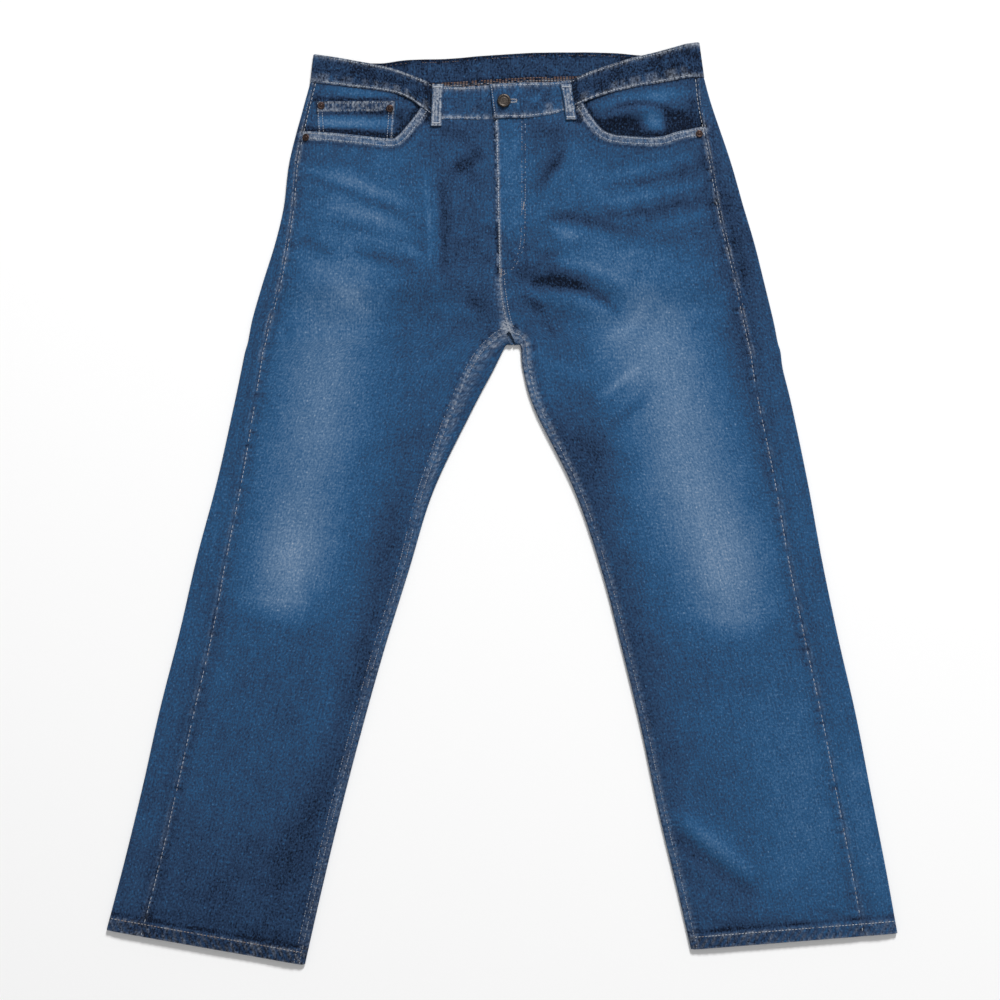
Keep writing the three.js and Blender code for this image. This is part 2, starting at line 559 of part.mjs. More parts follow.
// What lies above the waist seam, on the front or the back layer
function bandTool(table, low, high) {
  const seam = refine(table, () => 2).map((row) => [row.seamX, row.seamY - SEAM_GAP]);
  const first = seam[0];
  const last = seam[seam.length - 1];
  const shape = new THREE.Shape(
    [[first[0], FAR], ...seam, [last[0], FAR]].map(([x, y]) => new THREE.Vector2(x, y)),
  );
  return new THREE.ExtrudeGeometry(shape, { depth: high - low, bevelEnabled: false }).translate(0, 0, low);
}

const beyond = (corner, sign) => ({ ...corner, seamX: corner.seamX + sign * 12 });
const frontTools = {
  right: bandTool([...BAND_FRONT_RIGHT, BAND_CORNERS.right, beyond(BAND_CORNERS.right, -1)], BETWEEN_LAYERS, 40),
  left: bandTool([beyond(BAND_CORNERS.left, 1), BAND_CORNERS.left, ...BAND_FRONT_LEFT], BETWEEN_LAYERS, 40),
};
const backTool = bandTool(
  [beyond(BAND_CORNERS.right, -1), ...backOfBand, beyond(BAND_CORNERS.left, 1)],
  -20,
  BETWEEN_LAYERS,
);

for (const [side, stations, mouth, sign] of [
  ['right', right, MOUTH_RIGHT, -1],
  ['left', left, MOUTH_LEFT, 1],
]) {
  const rows = withHemRow(stations);
  const waist = rowEnds(rows[0]);
  const front = wallGeometry(pullIn(frontGrid(rows, side), ['start', 'end']), hemmed(rows, sign));
  add(`front_leg_${side}`, cut(cut(front, mouthTool(mouth, sign)), frontTools[side]), cloth(DENIM));
  const legRows = rows.filter((row) => row.station >= 1);
  const leg = pullIn(backGrid(legRows, waist), ['first', 'start', 'end']);
  add(`back_leg_${side}`, wallGeometry(leg, hemmed(legRows, -sign)), cloth(DENIM_DARK));
  const yokeRows = refine(rows.filter((row) => row.station <= 1), () => 2);
  const yoke = wallGeometry(pullIn(backGrid(yokeRows, waist), ['last', 'start', 'end']), WALL);
  add(`yoke_${side}`, cut(cut(yoke, backTool), frontTools[side]), cloth(DENIM_DARK));
}

// Waistband
const BAND_ROWS = 3;
const bandLevel = (BAND_WALL - WALL) / 2; // its underside is level with the panels'

function bandColumn(row, heightAt) {
  const column = [];
  for (let i = 0; i <= BAND_ROWS; i++) {
    const x = mix(row.topX, row.seamX, i / BAND_ROWS);
    const y = mix(row.topY, row.seamY, i / BAND_ROWS);
    column.push(new THREE.Vector3(x, y, heightAt(x, y)));
  }
  return column;
}

function bandCorner(corner, sign, upwards) {
  const columns = [];
  const low = BAND_WALL / 2;
  const high = EDGE_MID + bandLevel;
  const radius = (high - low) / 2;
  for (let k = 0; k <= ARC_COLUMNS; k++) {
    const angle = Math.PI * (upwards ? 1 - k / ARC_COLUMNS : k / ARC_COLUMNS);
    const shift = sign * radius * (Math.sin(angle) - 1);
    const z = (high + low) / 2 + radius * Math.cos(angle);
    columns.push(bandColumn(
      { topX: corner.topX + shift, topY: corner.topY, seamX: corner.seamX + shift, seamY: corner.seamY },
      () => z,
    ));
  }
  return columns;
}

const bandFront = (x, y) => top(x, y) + bandLevel;
const bandBack = (x, y) => BAND_WALL / 2 + lift(x, y);
const overlap = (x) => smooth((OVERLAP_START - x) / (OVERLAP_START - OVERLAP_FULL));
const bandOver = (x, y) => bandFront(x, y) + overlap(x) * 0.9;
const bandUnder = (x, y) => bandFront(x, y) - (BAND_WALL + SEAM_GAP - 0.9) * smooth((x + 34) / 18);
const asRows = (columns) => columns[0].map((_, i) => columns.map((column) => column[i]));
const bandColumns = [
  ...refine(BAND_FRONT_RIGHT, () => 2).map((row) => bandColumn(row, bandUnder)),
  ...bandCorner(BAND_CORNERS.right, -1, false),
  ...refine(BAND_BACK, () => 2).map((row) => bandColumn(row, bandBack)),
  ...bandCorner(BAND_CORNERS.left, 1, true),
  ...refine(BAND_FRONT_LEFT, () => 2).map((row) => bandColumn(row, bandOver)),
];
const band = pullIn(asRows(bandColumns), ['last']);
const slot = [];
for (let k = 0; k <= 8; k++) {
  const angle = Math.PI / 2 + (Math.PI * k) / 8;
  slot.push([BUTTON.x + (Math.cos(angle) * BUTTON.holeWidth) / 2, BUTTON.y + (Math.sin(angle) * BUTTON.holeWidth) / 2]);
}
slot.push([BUTTON.x + BUTTON.holeLength - BUTTON.holeWidth / 2, BUTTON.y - BUTTON.holeWidth / 4]);
slot.push([BUTTON.x + BUTTON.holeLength - BUTTON.holeWidth / 2, BUTTON.y + BUTTON.holeWidth / 4]);
const slotFloor = bandOver(BUTTON.x, BUTTON.y) - BAND_WALL / 2 - SEAM_GAP / 2;
const slotTool = new THREE.ExtrudeGeometry(
  new THREE.Shape(slot.map(([x, y]) => new THREE.Vector2(x, y))),
  { depth: 20, bevelEnabled: false },
).translate(0, 0, slotFloor);
add('waistband', cut(wallGeometry(band, BAND_WALL), slotTool), cloth(DENIM));

// Pocket facings, seen in the pocket mouths
const facingHeight = (side) => (x, y) => {
  const { tuck, reach, underX, clearX } = FACINGS[side];
  const below = edgeAt(sideOfBand[side], 'seamX', 'seamY', x) - y;
  const dip = smooth((below - tuck) / (reach - tuck));
  const under = smooth((clearX - Math.abs(x)) / (clearX - underX));
  return mix(top(x, y), bottom(x, y) + FACING_LEVEL, Math.max(dip, under));
};

const FACING_CLEAR = 0.8; // from the side seam
const FACING_ALLOWANCE = 3; // past the waist seam, before it is cut

function facingGrid(side, rows) {
  const { sign, innerX, bottomY } = FACINGS[side];
  const height = facingHeight(side);
  const sideLine = rows.map((row) => rowEnds(row).side);
  const columns = 10;
  const lines = 10;
  const grid = [];
  for (let i = 0; i <= lines; i++) {
    const points = [];
    for (let j = 0; j <= columns; j++) {
      const seamX = mix(sideLine[0].x, innerX, j / columns);
      const waistY = edgeAt(sideOfBand[side], 'seamX', 'seamY', seamX) + FACING_ALLOWANCE;
      const y = mix(waistY, bottomY, i / lines);
      const x = mix(edgeAt(sideLine, 'y', 'x', y) - sign * FACING_CLEAR, innerX, j / columns);
      points.push(new THREE.Vector3(x, y, height(x, y)));
    }
    grid.push(points);
  }
  return grid;
}
for (const [side, rows] of [['right', right], ['left', left]]) {
  const facing = wallGeometry(facingGrid(side, rows), LINING_WALL);
  add(`pocket_facing_${side}`, cut(facing, frontTools[side]), cloth(DENIM));
}

// Coin pocket, on the right facing
const coinHeight = (x, y) => facingHeight('right')(x, y) + LAYER;
const coinGrid = [];
for (let i = 0; i <= 5; i++) {
  const points = [];
  for (let j = 0; j <= 6; j++) {
    const narrow = COIN_POCKET.taper * (i / 5);
    const x = mix(COIN_POCKET.left + narrow, COIN_POCKET.right - narrow, j / 6);
    const y = mix(COIN_POCKET.top, COIN_POCKET.bottom, i / 5);
    points.push(new THREE.Vector3(x, y, coinHeight(x, y)));
  }
  coinGrid.push(points);
}
add('coin_pocket', wallGeometry(coinGrid, LINING_WALL), cloth(DENIM));

// Pocket bags: one piece of lining, folded at the inner edge
function bagGrid({ sign, innerX, outerX, topY, bottomY, climb }) {
  const lines = 10;
  const columns = 8;
  const grid = [];
  for (let i = 0; i <= lines; i++) {
    const t = i / lines;
    const points = [];
    const round = 1 - Math.sqrt(Math.max(1 - Math.max(t - 0.8, 0) ** 2 / 0.05, 0.3));
    const inner = innerX + 26 * round;
    const outer = outerX - 30 * round;
    const place = (a, height) => {
      const startY = topY + climb * smooth((140 - a) / 44);
      const y = mix(startY, bottomY, t);
      return new THREE.Vector3(sign * a, y, height(sign * a, y));
    };
    const low = (x, y) => bottom(x, y) + BAG_LEVEL;
    const high = (x, y) => top(x, y) - WALL / 2 - SEAM_GAP - LAYER_EASE - LINING_WALL / 2;
    for (let j = 0; j <= columns; j++) points.push(place(mix(outer, inner, j / columns), low));
    const lowEnd = points[points.length - 1];
    const highZ = high(lowEnd.x, lowEnd.y);
    const radius = (highZ - lowEnd.z) / 2;
    for (let k = 1; k < ARC_COLUMNS; k++) {
      const angle = (Math.PI * k) / ARC_COLUMNS;
      const z = (highZ + lowEnd.z) / 2 - radius * Math.cos(angle);
      points.push(new THREE.Vector3(lowEnd.x - sign * radius * Math.sin(angle), lowEnd.y, z));
    }
    for (let j = columns; j >= 1; j--) points.push(place(mix(outer, inner, j / columns), high));
    grid.push(points);
  }
  return grid;
}
add('pocket_bag_right', wallGeometry(bagGrid(BAGS.right), LINING_WALL), cloth(POCKET_CLOTH));
add('pocket_bag_left', wallGeometry(bagGrid(BAGS.left), LINING_WALL), cloth(POCKET_CLOTH));

// Back pockets, between the panel and the floor
for (const [side, pocket] of Object.entries(BACK_POCKETS)) {
  const half = BACK_POCKET.width / 2;
  const outline = [
    [-half, 0],
    [half, 0],
    [half - BACK_POCKET.taper, -BACK_POCKET.side],
    [0, -BACK_POCKET.tip],
    [-half + BACK_POCKET.taper, -BACK_POCKET.side],
  ];
  const shape = new THREE.Shape(outline.map(([x, y]) => new THREE.Vector2(x, y)));
  const geometry = new THREE.ExtrudeGeometry(shape, { depth: WALL, bevelEnabled: false });
  geometry.rotateZ(THREE.MathUtils.degToRad(pocket.tilt));
  geometry.translate(pocket.x, BACK_POCKET.topY, 0);
  add(`back_pocket_${side}`, geometry, cloth(DENIM_DARK));
}

// Belt loops
function loopGrid(loop, heightAt) {
  const lines = 6;
  const grid = [];
  for (let i = 0; i <= lines; i++) {
    const t = i / lines;
    const x = mix(loop.topX, loop.footX, t);
    const y = mix(loop.topY, loop.footY, t);
    const z = heightAt(x, y, t);
    grid.push([-1, 0, 1].map((k) => new THREE.Vector3(x + (k * loop.width) / 2, y, z)));
  }
  return grid;
}
const loopRise = BAND_WALL - WALL / 2 + SEAM_GAP + LOOP_WALL / 2; // over the panels' middle
const overBand = (x, y, t) => {
  const highest = Math.max(top(x - 6, y), top(x, y), top(x + 6, y));
  return highest + loopRise + 0.15 + LOOP_ARCH * Math.sin(Math.PI * t);
};
for (const [side, loop] of Object.entries(FRONT_LOOPS)) {
  add(`belt_loop_front_${side}`, wallGeometry(loopGrid(loop, overBand), LOOP_WALL), cloth(DENIM));
}
for (const [side, loop] of Object.entries(BACK_LOOPS)) {
  const flat = loopGrid(loop, () => LOOP_WALL / 2);
  add(`belt_loop_back_${side}`, wallGeometry(flat, LOOP_WALL), cloth(DENIM_DARK));
}

// Zip, closed, under the fly line
const zipGrid = [];
for (let i = 0; i <= 8; i++) {
  const y = mix(ZIP.topY, ZIP.bottomY, i / 8);
  const x = mix(-8, -4, i / 8);
  const z = top(x, y) - WALL / 2 - SEAM_GAP - ZIP.wall / 2 - 0.2;
  zipGrid.push([-1, 0, 1].map((k) => new THREE.Vector3(x + (k * ZIP.width) / 2, y, z)));
}
add('zip', wallGeometry(zipGrid, ZIP.wall), cloth('#8a8478'));

// Button and rivets
const metal = () => new THREE.MeshStandardMaterial({ color: METAL, roughness: 0.4, metalness: 0.9 });
function turned(profile, segments) {
  return new THREE.LatheGeometry(profile.map(([r, z]) => new THREE.Vector2(r, z)), segments).rotateX(Math.PI / 2);
}
const buttonTop = bandOver(BUTTON.x, BUTTON.y) + BAND_WALL / 2 + SEAM_GAP;
const buttonFoot = bandUnder(BUTTON.x, BUTTON.y) + BAND_WALL / 2 + SEAM_GAP;
add('button', turned([
  [0, buttonFoot - buttonTop],
  [BUTTON.shank, buttonFoot - buttonTop],
  [BUTTON.shank, 0],
  [BUTTON.radius * 0.9, 0],
  [BUTTON.radius, BUTTON.height * 0.3],
  [BUTTON.radius * 0.94, BUTTON.height * 0.75],
  [BUTTON.radius * 0.8, BUTTON.height],
  [BUTTON.radius * 0.62, BUTTON.height * 0.8],
  [0, BUTTON.height * 0.8],
], 24).translate(BUTTON.x, BUTTON.y, buttonTop), metal());

// A rivet lies flat on the slope of its cloth.
function seated(geometry, { x, y }, surface, half) {
  const span = RIVET_RADIUS;
  const dx = (surface(x + span, y) - surface(x - span, y)) / (2 * span);
  const dy = (surface(x, y + span) - surface(x, y - span)) / (2 * span);
  const normal = new THREE.Vector3(-dx, -dy, 1).normalize();
  const z = (surface(x + span, y) + surface(x - span, y) + surface(x, y + span) + surface(x, y - span)) / 4;
  const turn = new THREE.Quaternion().setFromUnitVectors(new THREE.Vector3(0, 0, 1), normal);
  const height = Math.max(z, surface(x, y)) + half + SEAM_GAP + RIVET_EASE;
  return geometry.applyQuaternion(turn).translate(x, y, height);
}

for (const [name, rivet] of Object.entries(RIVETS)) {
  const [surface, half] = rivet.on === 'coin' ? [coinHeight, LINING_WALL / 2] : [top, WALL / 2];
  add(name, seated(turned([
    [0, 0],
    [RIVET_RADIUS, 0],
    [RIVET_RADIUS * 0.92, RIVET_HEIGHT * 0.5],
    [RIVET_RADIUS * 0.5, RIVET_HEIGHT * 0.6],
    [RIVET_RADIUS * 0.35, RIVET_HEIGHT],
    [0, RIVET_HEIGHT],
  ], 20), rivet, surface, half), metal());
}

export default jeans;
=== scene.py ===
"""Straight leg jeans laid flat, front up: the worn cloth, its stitching and its metal trim.

Tables are in millimetres, with +Y to the waist, +Z up and the wearer's right leg at -X, as the
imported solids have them. Every cloth piece is a thin closed wall on the form of its own solid.
"""

import math

import bpy
import numpy as np
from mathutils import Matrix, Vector


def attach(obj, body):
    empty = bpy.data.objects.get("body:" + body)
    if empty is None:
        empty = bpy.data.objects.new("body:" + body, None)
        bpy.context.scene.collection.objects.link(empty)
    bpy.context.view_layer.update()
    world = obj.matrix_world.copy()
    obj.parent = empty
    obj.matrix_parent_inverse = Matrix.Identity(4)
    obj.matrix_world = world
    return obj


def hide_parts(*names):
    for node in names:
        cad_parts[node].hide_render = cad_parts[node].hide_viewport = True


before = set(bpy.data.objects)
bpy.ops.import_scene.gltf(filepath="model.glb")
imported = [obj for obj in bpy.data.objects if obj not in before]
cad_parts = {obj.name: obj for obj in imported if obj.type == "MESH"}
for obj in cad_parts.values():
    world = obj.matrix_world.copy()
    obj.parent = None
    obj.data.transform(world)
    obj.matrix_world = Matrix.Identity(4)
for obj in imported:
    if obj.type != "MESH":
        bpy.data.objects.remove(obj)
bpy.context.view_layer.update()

MM = 0.001

# Cloth
WALL = 1.2
BAND_WALL = 2.0
LINING_WALL = 1.0
LOOP_WALL = 1.6
SEAM_GAP = 0.3
FOLD_RADIUS = 2.0
CROWN = 1.0
CROWN_REACH = 18.0
POCKET_RISE = 3.4
LAYER_EASE = 0.4
FLOOR_MID = WALL / 2
EDGE_MID = FLOOR_MID + 2 * FOLD_RADIUS
BACK_POCKET_LIFT = WALL + SEAM_GAP
LOOP_LIFT = LOOP_WALL + SEAM_GAP
LAYER = LINING_WALL + SEAM_GAP + LAYER_EASE
BAG_LEVEL = WALL / 2 + SEAM_GAP + LAYER_EASE + LINING_WALL / 2
FACING_LEVEL = BAG_LEVEL + LAYER
HEM_DEPTH = 17.0
HEM_STITCH = 15.2  # from the hem's edge up to its row of stitches
RIM_BULGE = 0.3  # share of the wall by which a cut edge bulges

# Rows across each leg from the waist to the hem. side is how far the side seam lies in from
# the folded outer edge, seam is the fly line and then the inseam, inner is the centre back
# while wrap is 0 and the folded inner edge where wrap is 1.
STATION = ("outer_x", "outer_y", "side", "seam_x", "seam_y", "inner_x", "inner_y", "wrap")
STATIONS = {
    "right": [
        (-239, 527, 5, -9, 479, 2, 522, 0),
        (-249, 491, 6, -8, 457, 3, 454, 0),
        (-265, 429, 9, -7, 414, 4, 417, 0),
        (-272, 373, 11, -6, 361, 6, 363, 0),
        (-283, 326, 15, -5, 311, 9, 313, 0),
        (-298, 278, 21, -4, 273, 11, 267, 0),
        (-310, 237, 22, 1, 239, 12, 223, 0),
        (-314, 219, 21, 5, 223, 14, 206, 0),
        (-316, 208, 21, 8, 216, 13, 199, 0.5),
        (-318, 199, 21, 6, 213, 8, 199, 1),
        (-321, 189, 21, -11, 201, 3, 196, 1),
        (-325, 169, 22, -32, 176, -11, 168, 1),
        (-335, 121, 24, -58, 121, -38, 117, 1),
        (-356, 27, 29, -96, 18, -86, 17, 1),
        (-381, -67, 35, -122, -83, -117, -83, 1),
        (-403, -162, 39, -153, -183, -148, -183, 1),
        (-427, -256, 41, -181, -283, -176, -283, 1),
        (-448, -350, 41, -207, -383, -202, -383, 1),
        (-471, -445, 42, -231, -483, -226, -483, 1),
        (-494, -533, 42, -252, -576, -247, -576, 1),
    ],
    "left": [
        (252, 533, 9, -9, 479, 2, 522, 0),
        (262, 497, 15, -8, 457, 3, 454, 0),
        (285, 429, 25, -7, 414, 4, 417, 0),
        (301, 373, 31, -6, 361, 6, 363, 0),
        (315, 326, 34, -5, 311, 9, 313, 0),
        (327, 278, 34, -4, 273, 11, 267, 0),
        (337, 237, 36, 1, 239, 12, 223, 0),
        (341, 219, 36, 5, 223, 14, 206, 0),
        (343, 208, 36, 8, 216, 15, 199, 0.5),
        (345, 199, 36, 11, 213, 19, 199, 1),
        (348, 189, 36, 27, 203, 24, 196, 1),
        (351, 167, 36, 32, 169, 27, 168, 1),
        (362, 122, 39, 47, 117, 42, 117, 1),
        (382, 26, 39, 96, 17, 91, 17, 1),
        (400, -72, 40, 130, -83, 125, -83, 1),
        (420, -168, 40, 156, -183, 151, -183, 1),
        (442, -264, 41, 180, -283, 175, -283, 1),
        (461, -362, 41, 201, -383, 196, -383, 1),
        (480, -459, 41, 225, -483, 220, -483, 1),
        (494, -537, 41, 242, -557, 237, -557, 1),
    ],
}
HIP = 3  # row below which the front panels' grids follow the rows
FORK = 8  # row at the fork, where the inner edge goes over from the centre back to the fold
STEPS = 6  # points of a leg's lines from one row to the next

# Waistband: x and y of the lower edge (the waist seam) and of the upper edge, in the order it
# is sewn on
BAND_FRONT_RIGHT = [
    (20, 484, 20, 524), (4, 484, 4, 523), (-8, 481, -8, 523), (-26, 480, -27, 521),
    (-52, 480, -52, 520), (-76, 480, -76, 521), (-88, 485, -88, 524), (-102, 496, -102, 530),
    (-118, 507, -118, 536), (-140, 514, -142, 544), (-190, 521, -190, 554), (-225, 525, -220, 559),
]
BAND_BACK = [
    (-225, 524, -220, 558), (-190, 517, -190, 552), (-152, 513, -152, 550), (-120, 515, -120, 554),
    (-70, 518, -70, 556), (-15, 521, -15, 560), (60, 525, 60, 564), (136, 525, 136, 563),
    (190, 525, 188, 560), (236, 532, 230, 572),
]
BAND_FRONT_LEFT = [
    (236, 533, 230, 574), (198, 526, 191, 563), (160, 519, 156, 554), (122, 509, 119, 542),
    (101, 501, 98, 534), (88, 495, 86, 529), (66, 487, 62, 526), (29, 482, 27, 525),
    (8, 482, 4, 524), (-10, 481, -15, 523),
]
BAND_CORNERS = {"right": (-239, 527, -235, 561), "left": (252, 533, 246, 576)}
OVERLAP_START, OVERLAP_FULL = 40, 22

# Points of each pocket mouth, from the side seam up to the waist seam
MOUTHS = {
    "right": [(-262, 466), (-190, 460), (-143, 455), (-131, 458), (-118, 472), (-103, 492), (-96, 506)],
    "left": [
        (262, 472), (222, 464), (198, 457), (172, 457), (141, 460),
        (126, 466), (115, 478), (102, 499), (96, 512),
    ],
}
POCKET_ZONE = dict(centre_x=165, centre_y=374, half_x=92, half_y=96, ramp=40)
BACK_POCKET_ZONE = dict(centre_x=118, centre_y=354, half_x=100, half_y=106, ramp=28)
FACINGS = {
    "right": dict(sign=-1, inner_x=-100, bottom_y=402, tuck=3, reach=30, under_x=118, clear_x=140),
    "left": dict(sign=1, inner_x=98, bottom_y=405, tuck=26, reach=48, under_x=118, clear_x=142),
}
GAPE = dict(x=182, y=452, rise=2.8, radius_x=80, radius_y=38)
COIN_POCKET = dict(left=-232, right=-134, top=502, bottom=440, taper=4)
BAGS = {
    "right": dict(sign=-1, inner_x=84, outer_x=244, top_y=449, bottom_y=272, climb=18),
    "left": dict(sign=1, inner_x=84, outer_x=244, top_y=445, bottom_y=274, climb=12),
}
BACK_POCKETS = {"right": dict(x=-112, tilt=-4), "left": dict(x=124, tilt=4)}
BACK_POCKET = dict(half=79, top_y=438, side=132, tip=168, taper=8)
FRONT_LOOPS = {"right": (-80, 523, -82, 471), "left": (80, 523, 86, 479)}
BACK_LOOPS = {"right": (-130, 551, -130, 508), "centre": (3, 559, 3, 515), "left": (140, 561, 140, 518)}
LOOP_WIDTH = 12.0
LOOP_ZONE = dict(half=32, ramp=24, low=473)
BUTTON = dict(x=2.5, y=502.5, hole=16.5)
RIVETS = {
    "rivet_coin_outer": (-226, 497, "coin"),
    "rivet_coin_inner": (-140, 493, "coin"),
    "rivet_right": (-245, 457, "front"),
    "rivet_left": (246, 461, "front"),
}

ZIP = dict(top_x=-8, foot_x=-4, top_y=477, foot_y=284, half=13, sunk=0.8)

# Folds as quadratic curves from the first point towards the second to the third, then the
# width and the height. A trough has a negative height.
FOLDS = [
    (18, 275, 98, 282, 152, 246, 11, -1.8),  # under the fly
    (30, 258, 98, 262, 140, 228, 11, 1.4),
    (12, 255, 30, 247, 52, 238, 9, -1.2),
    (-130, 42, -160, -171, -205, -296, 18, -1.2),  # along the right inseam
    (-205, -296, -238, -396, -295, -493, 18, -1.2),
    (-190, -333, -215, -421, -252, -502, 14, 0.8),
    (202, -401, 255, -448, 330, -501, 12, -1.6),  # across the left shin
    (212, -386, 262, -423, 318, -471, 13, 2.2),
    (218, -448, 254, -486, 298, -506, 10, -0.8),
]
SMALL_FOLDS = [
    (54, 239, 52, 228, 47, 216, 5, -0.6),  # left of the crotch
    (38, 313, 60, 313, 82, 308, 6, -0.5),
    (50, 346, 74, 368, 124, 352, 8, -0.7),
    (33, 346, 42, 362, 58, 376, 8, 0.6),
    (64, 330, 98, 342, 130, 322, 9, 0.5),
    (-90, 410, -80, 361, -81, 284, 5, 0.6),  # inner edge of the right pocket bag
    (-81, 288, -74, 268, -92, 262, 6, 0.5),
    (-72, 400, -66, 350, -70, 292, 8, -0.4),
    (-20, 348, -14, 340, -8, 326, 7, -0.7),
    (-44, 258, -34, 244, -22, 238, 7, -0.6),
    (-58, 300, -44, 286, -30, 268, 9, 0.5),
    (-60, 430, -48, 418, -38, 414, 9, -0.5),  # under the band, right of the fly
    (96, 452, 84, 432, 80, 404, 9, 0.5),
    (66, 462, 60, 440, 66, 414, 9, -0.5),
    (392, -508, 420, -514, 446, -520, 4, -0.7),  # above the left hem
    (232, -520, 300, -532, 380, -522, 7, -0.5),
    (-480, -500, -390, -520, -258, -546, 7, -0.5),  # above the right hem
    (-296, 316, -270, 322, -232, 330, 6, -0.5),  # right hip, where the seat comes round
    (-306, 270, -282, 282, -250, 288, 7, -0.5),
    (330, 250, 300, 262, 262, 262, 8, 0.4),
    (-40, 205, -84, 168, -120, 156, 9, 0.4),  # thigh folds from the crotch
    (30, 190, 84, 156, 140, 150, 10, 0.4),
    (60, 96, 130, 52, 190, 44, 14, -0.4),
    (-70, 96, -140, 60, -200, 70, 14, -0.4),
]


def smooth(t):
    t = np.clip(t, 0, 1)
    return t * t * (3 - 2 * t)


def mix(a, b, t):
    return a + (b - a) * t


def plateau(distance, half, ramp):
    """One inside the half width, falling to 0 over the ramp."""
    return 1 - smooth((np.abs(distance) - half) / ramp)


def bell(away, middle, width):
    """One at the middle, falling to both sides as a bell of this width."""
    return np.exp(-(((away - middle) / width) ** 2))


def through(rows, s):
    """Smooth curve through the rows of a table at parameters s, with slopes set by each row's
    neighbours."""
    rows = np.asarray(rows, float)
    i = np.clip(np.floor(s).astype(int), 0, len(rows) - 2)
    t = (s - i)[:, None]
    near, far = rows[i], rows[i + 1]
    before, after = rows[np.maximum(i - 1, 0)], rows[np.minimum(i + 2, len(rows) - 1)]
    lean, lean_far = (far - before) / 2, (after - near) / 2
    t2, t3 = t * t, t * t * t
    start, end = 2 * t3 - 3 * t2 + 1, 3 * t2 - 2 * t3
    return start * near + (t3 - 2 * t2 + t) * lean + end * far + (t3 - t2) * lean_far


def fine_through(rows, per_row):
    """The same curve at per_row points from each row to the next."""
    last = len(rows) - 1
    return through(rows, np.linspace(0, last, per_row * last + 1))


def length_along(points):
    """Distance from the first point to each point of a line."""
    step = np.linalg.norm(np.diff(points, axis=0), axis=1)
    return np.concatenate([[0.0], np.cumsum(step)])


def evenly(points, count):
    """The same line with count points that lie equally far apart along it."""
    run = length_along(points)
    at = np.linspace(0, run[-1], count)
    return np.stack([np.interp(at, run, points[:, k]) for k in range(points.shape[1])], axis=1)


def even_parameters(rows, columns, count, low=0.0, high=None):
    """Parameters of a table's curve that lie equally far apart along the points in two of its
    columns."""
    high = len(rows) - 1.0 if high is None else high
    fine = np.linspace(low, high, 40 * max(int(round(high - low)), 1) + 1)
    run = length_along(through(rows, fine)[:, columns])
    return np.interp(np.linspace(0, run[-1], count), run, fine)


def field(line, x, y):
    """Distance from each point to a line, the side it lies on (positive to the left of the
    line's direction) and how far along the line its nearest point is."""
    shape = np.shape(x)
    px, py = np.ravel(x).astype(float), np.ravel(y).astype(float)
    start, step = line[:-1], np.diff(line, axis=0)
    size = (step**2).sum(1) + 1e-12
    run = length_along(line)
    away, across, along = (np.empty(len(px)) for _ in range(3))
    for part in np.array_split(np.arange(len(px)), len(px) // 20000 + 1):
        dx, dy = px[part, None] - start[:, 0], py[part, None] - start[:, 1]
        t = np.clip((dx * step[:, 0] + dy * step[:, 1]) / size, 0, 1)
        gap = (dx - t * step[:, 0]) ** 2 + (dy - t * step[:, 1]) ** 2
        k = gap.argmin(1)
        n = np.arange(len(part))
        away[part] = np.sqrt(gap[n, k])
        across[part] = np.sign(step[k, 0] * dy[n, k] - step[k, 1] * dx[n, k])
        along[part] = run[k] + t[n, k] * np.sqrt(size[k])
    return away.reshape(shape), across.reshape(shape), along.reshape(shape)


def ripple(x, y, size, seed):
    """Smooth random height from -1 to 1: random values on a square lattice, eased between its
    corners."""
    lattice = np.random.default_rng(seed).uniform(-1, 1, (97, 97))
    u, v = np.asarray(x, float) / size + 40, np.asarray(y, float) / size + 40
    i, j = np.floor(u).astype(int), np.floor(v).astype(int)
    a, b = smooth(u - i), smooth(v - j)
    i, j, i1, j1 = i % 97, j % 97, (i + 1) % 97, (j + 1) % 97
    return mix(mix(lattice[i, j], lattice[i1, j], a), mix(lattice[i, j1], lattice[i1, j1], a), b)


def edge_at(rows, x, key_x=0, key_y=1):
    """Height of a band edge at x, straight between the rows of its table."""
    rows = np.array(sorted(rows, key=lambda row: row[key_x]), float)
    return np.interp(x, rows[:, key_x], rows[:, key_y])


def towards(start, end, reach):
    """Points moved from start towards end by reach."""
    way = end - start
    return start + way / np.linalg.norm(way, axis=-1, keepdims=True) * np.reshape(reach, (-1, 1))


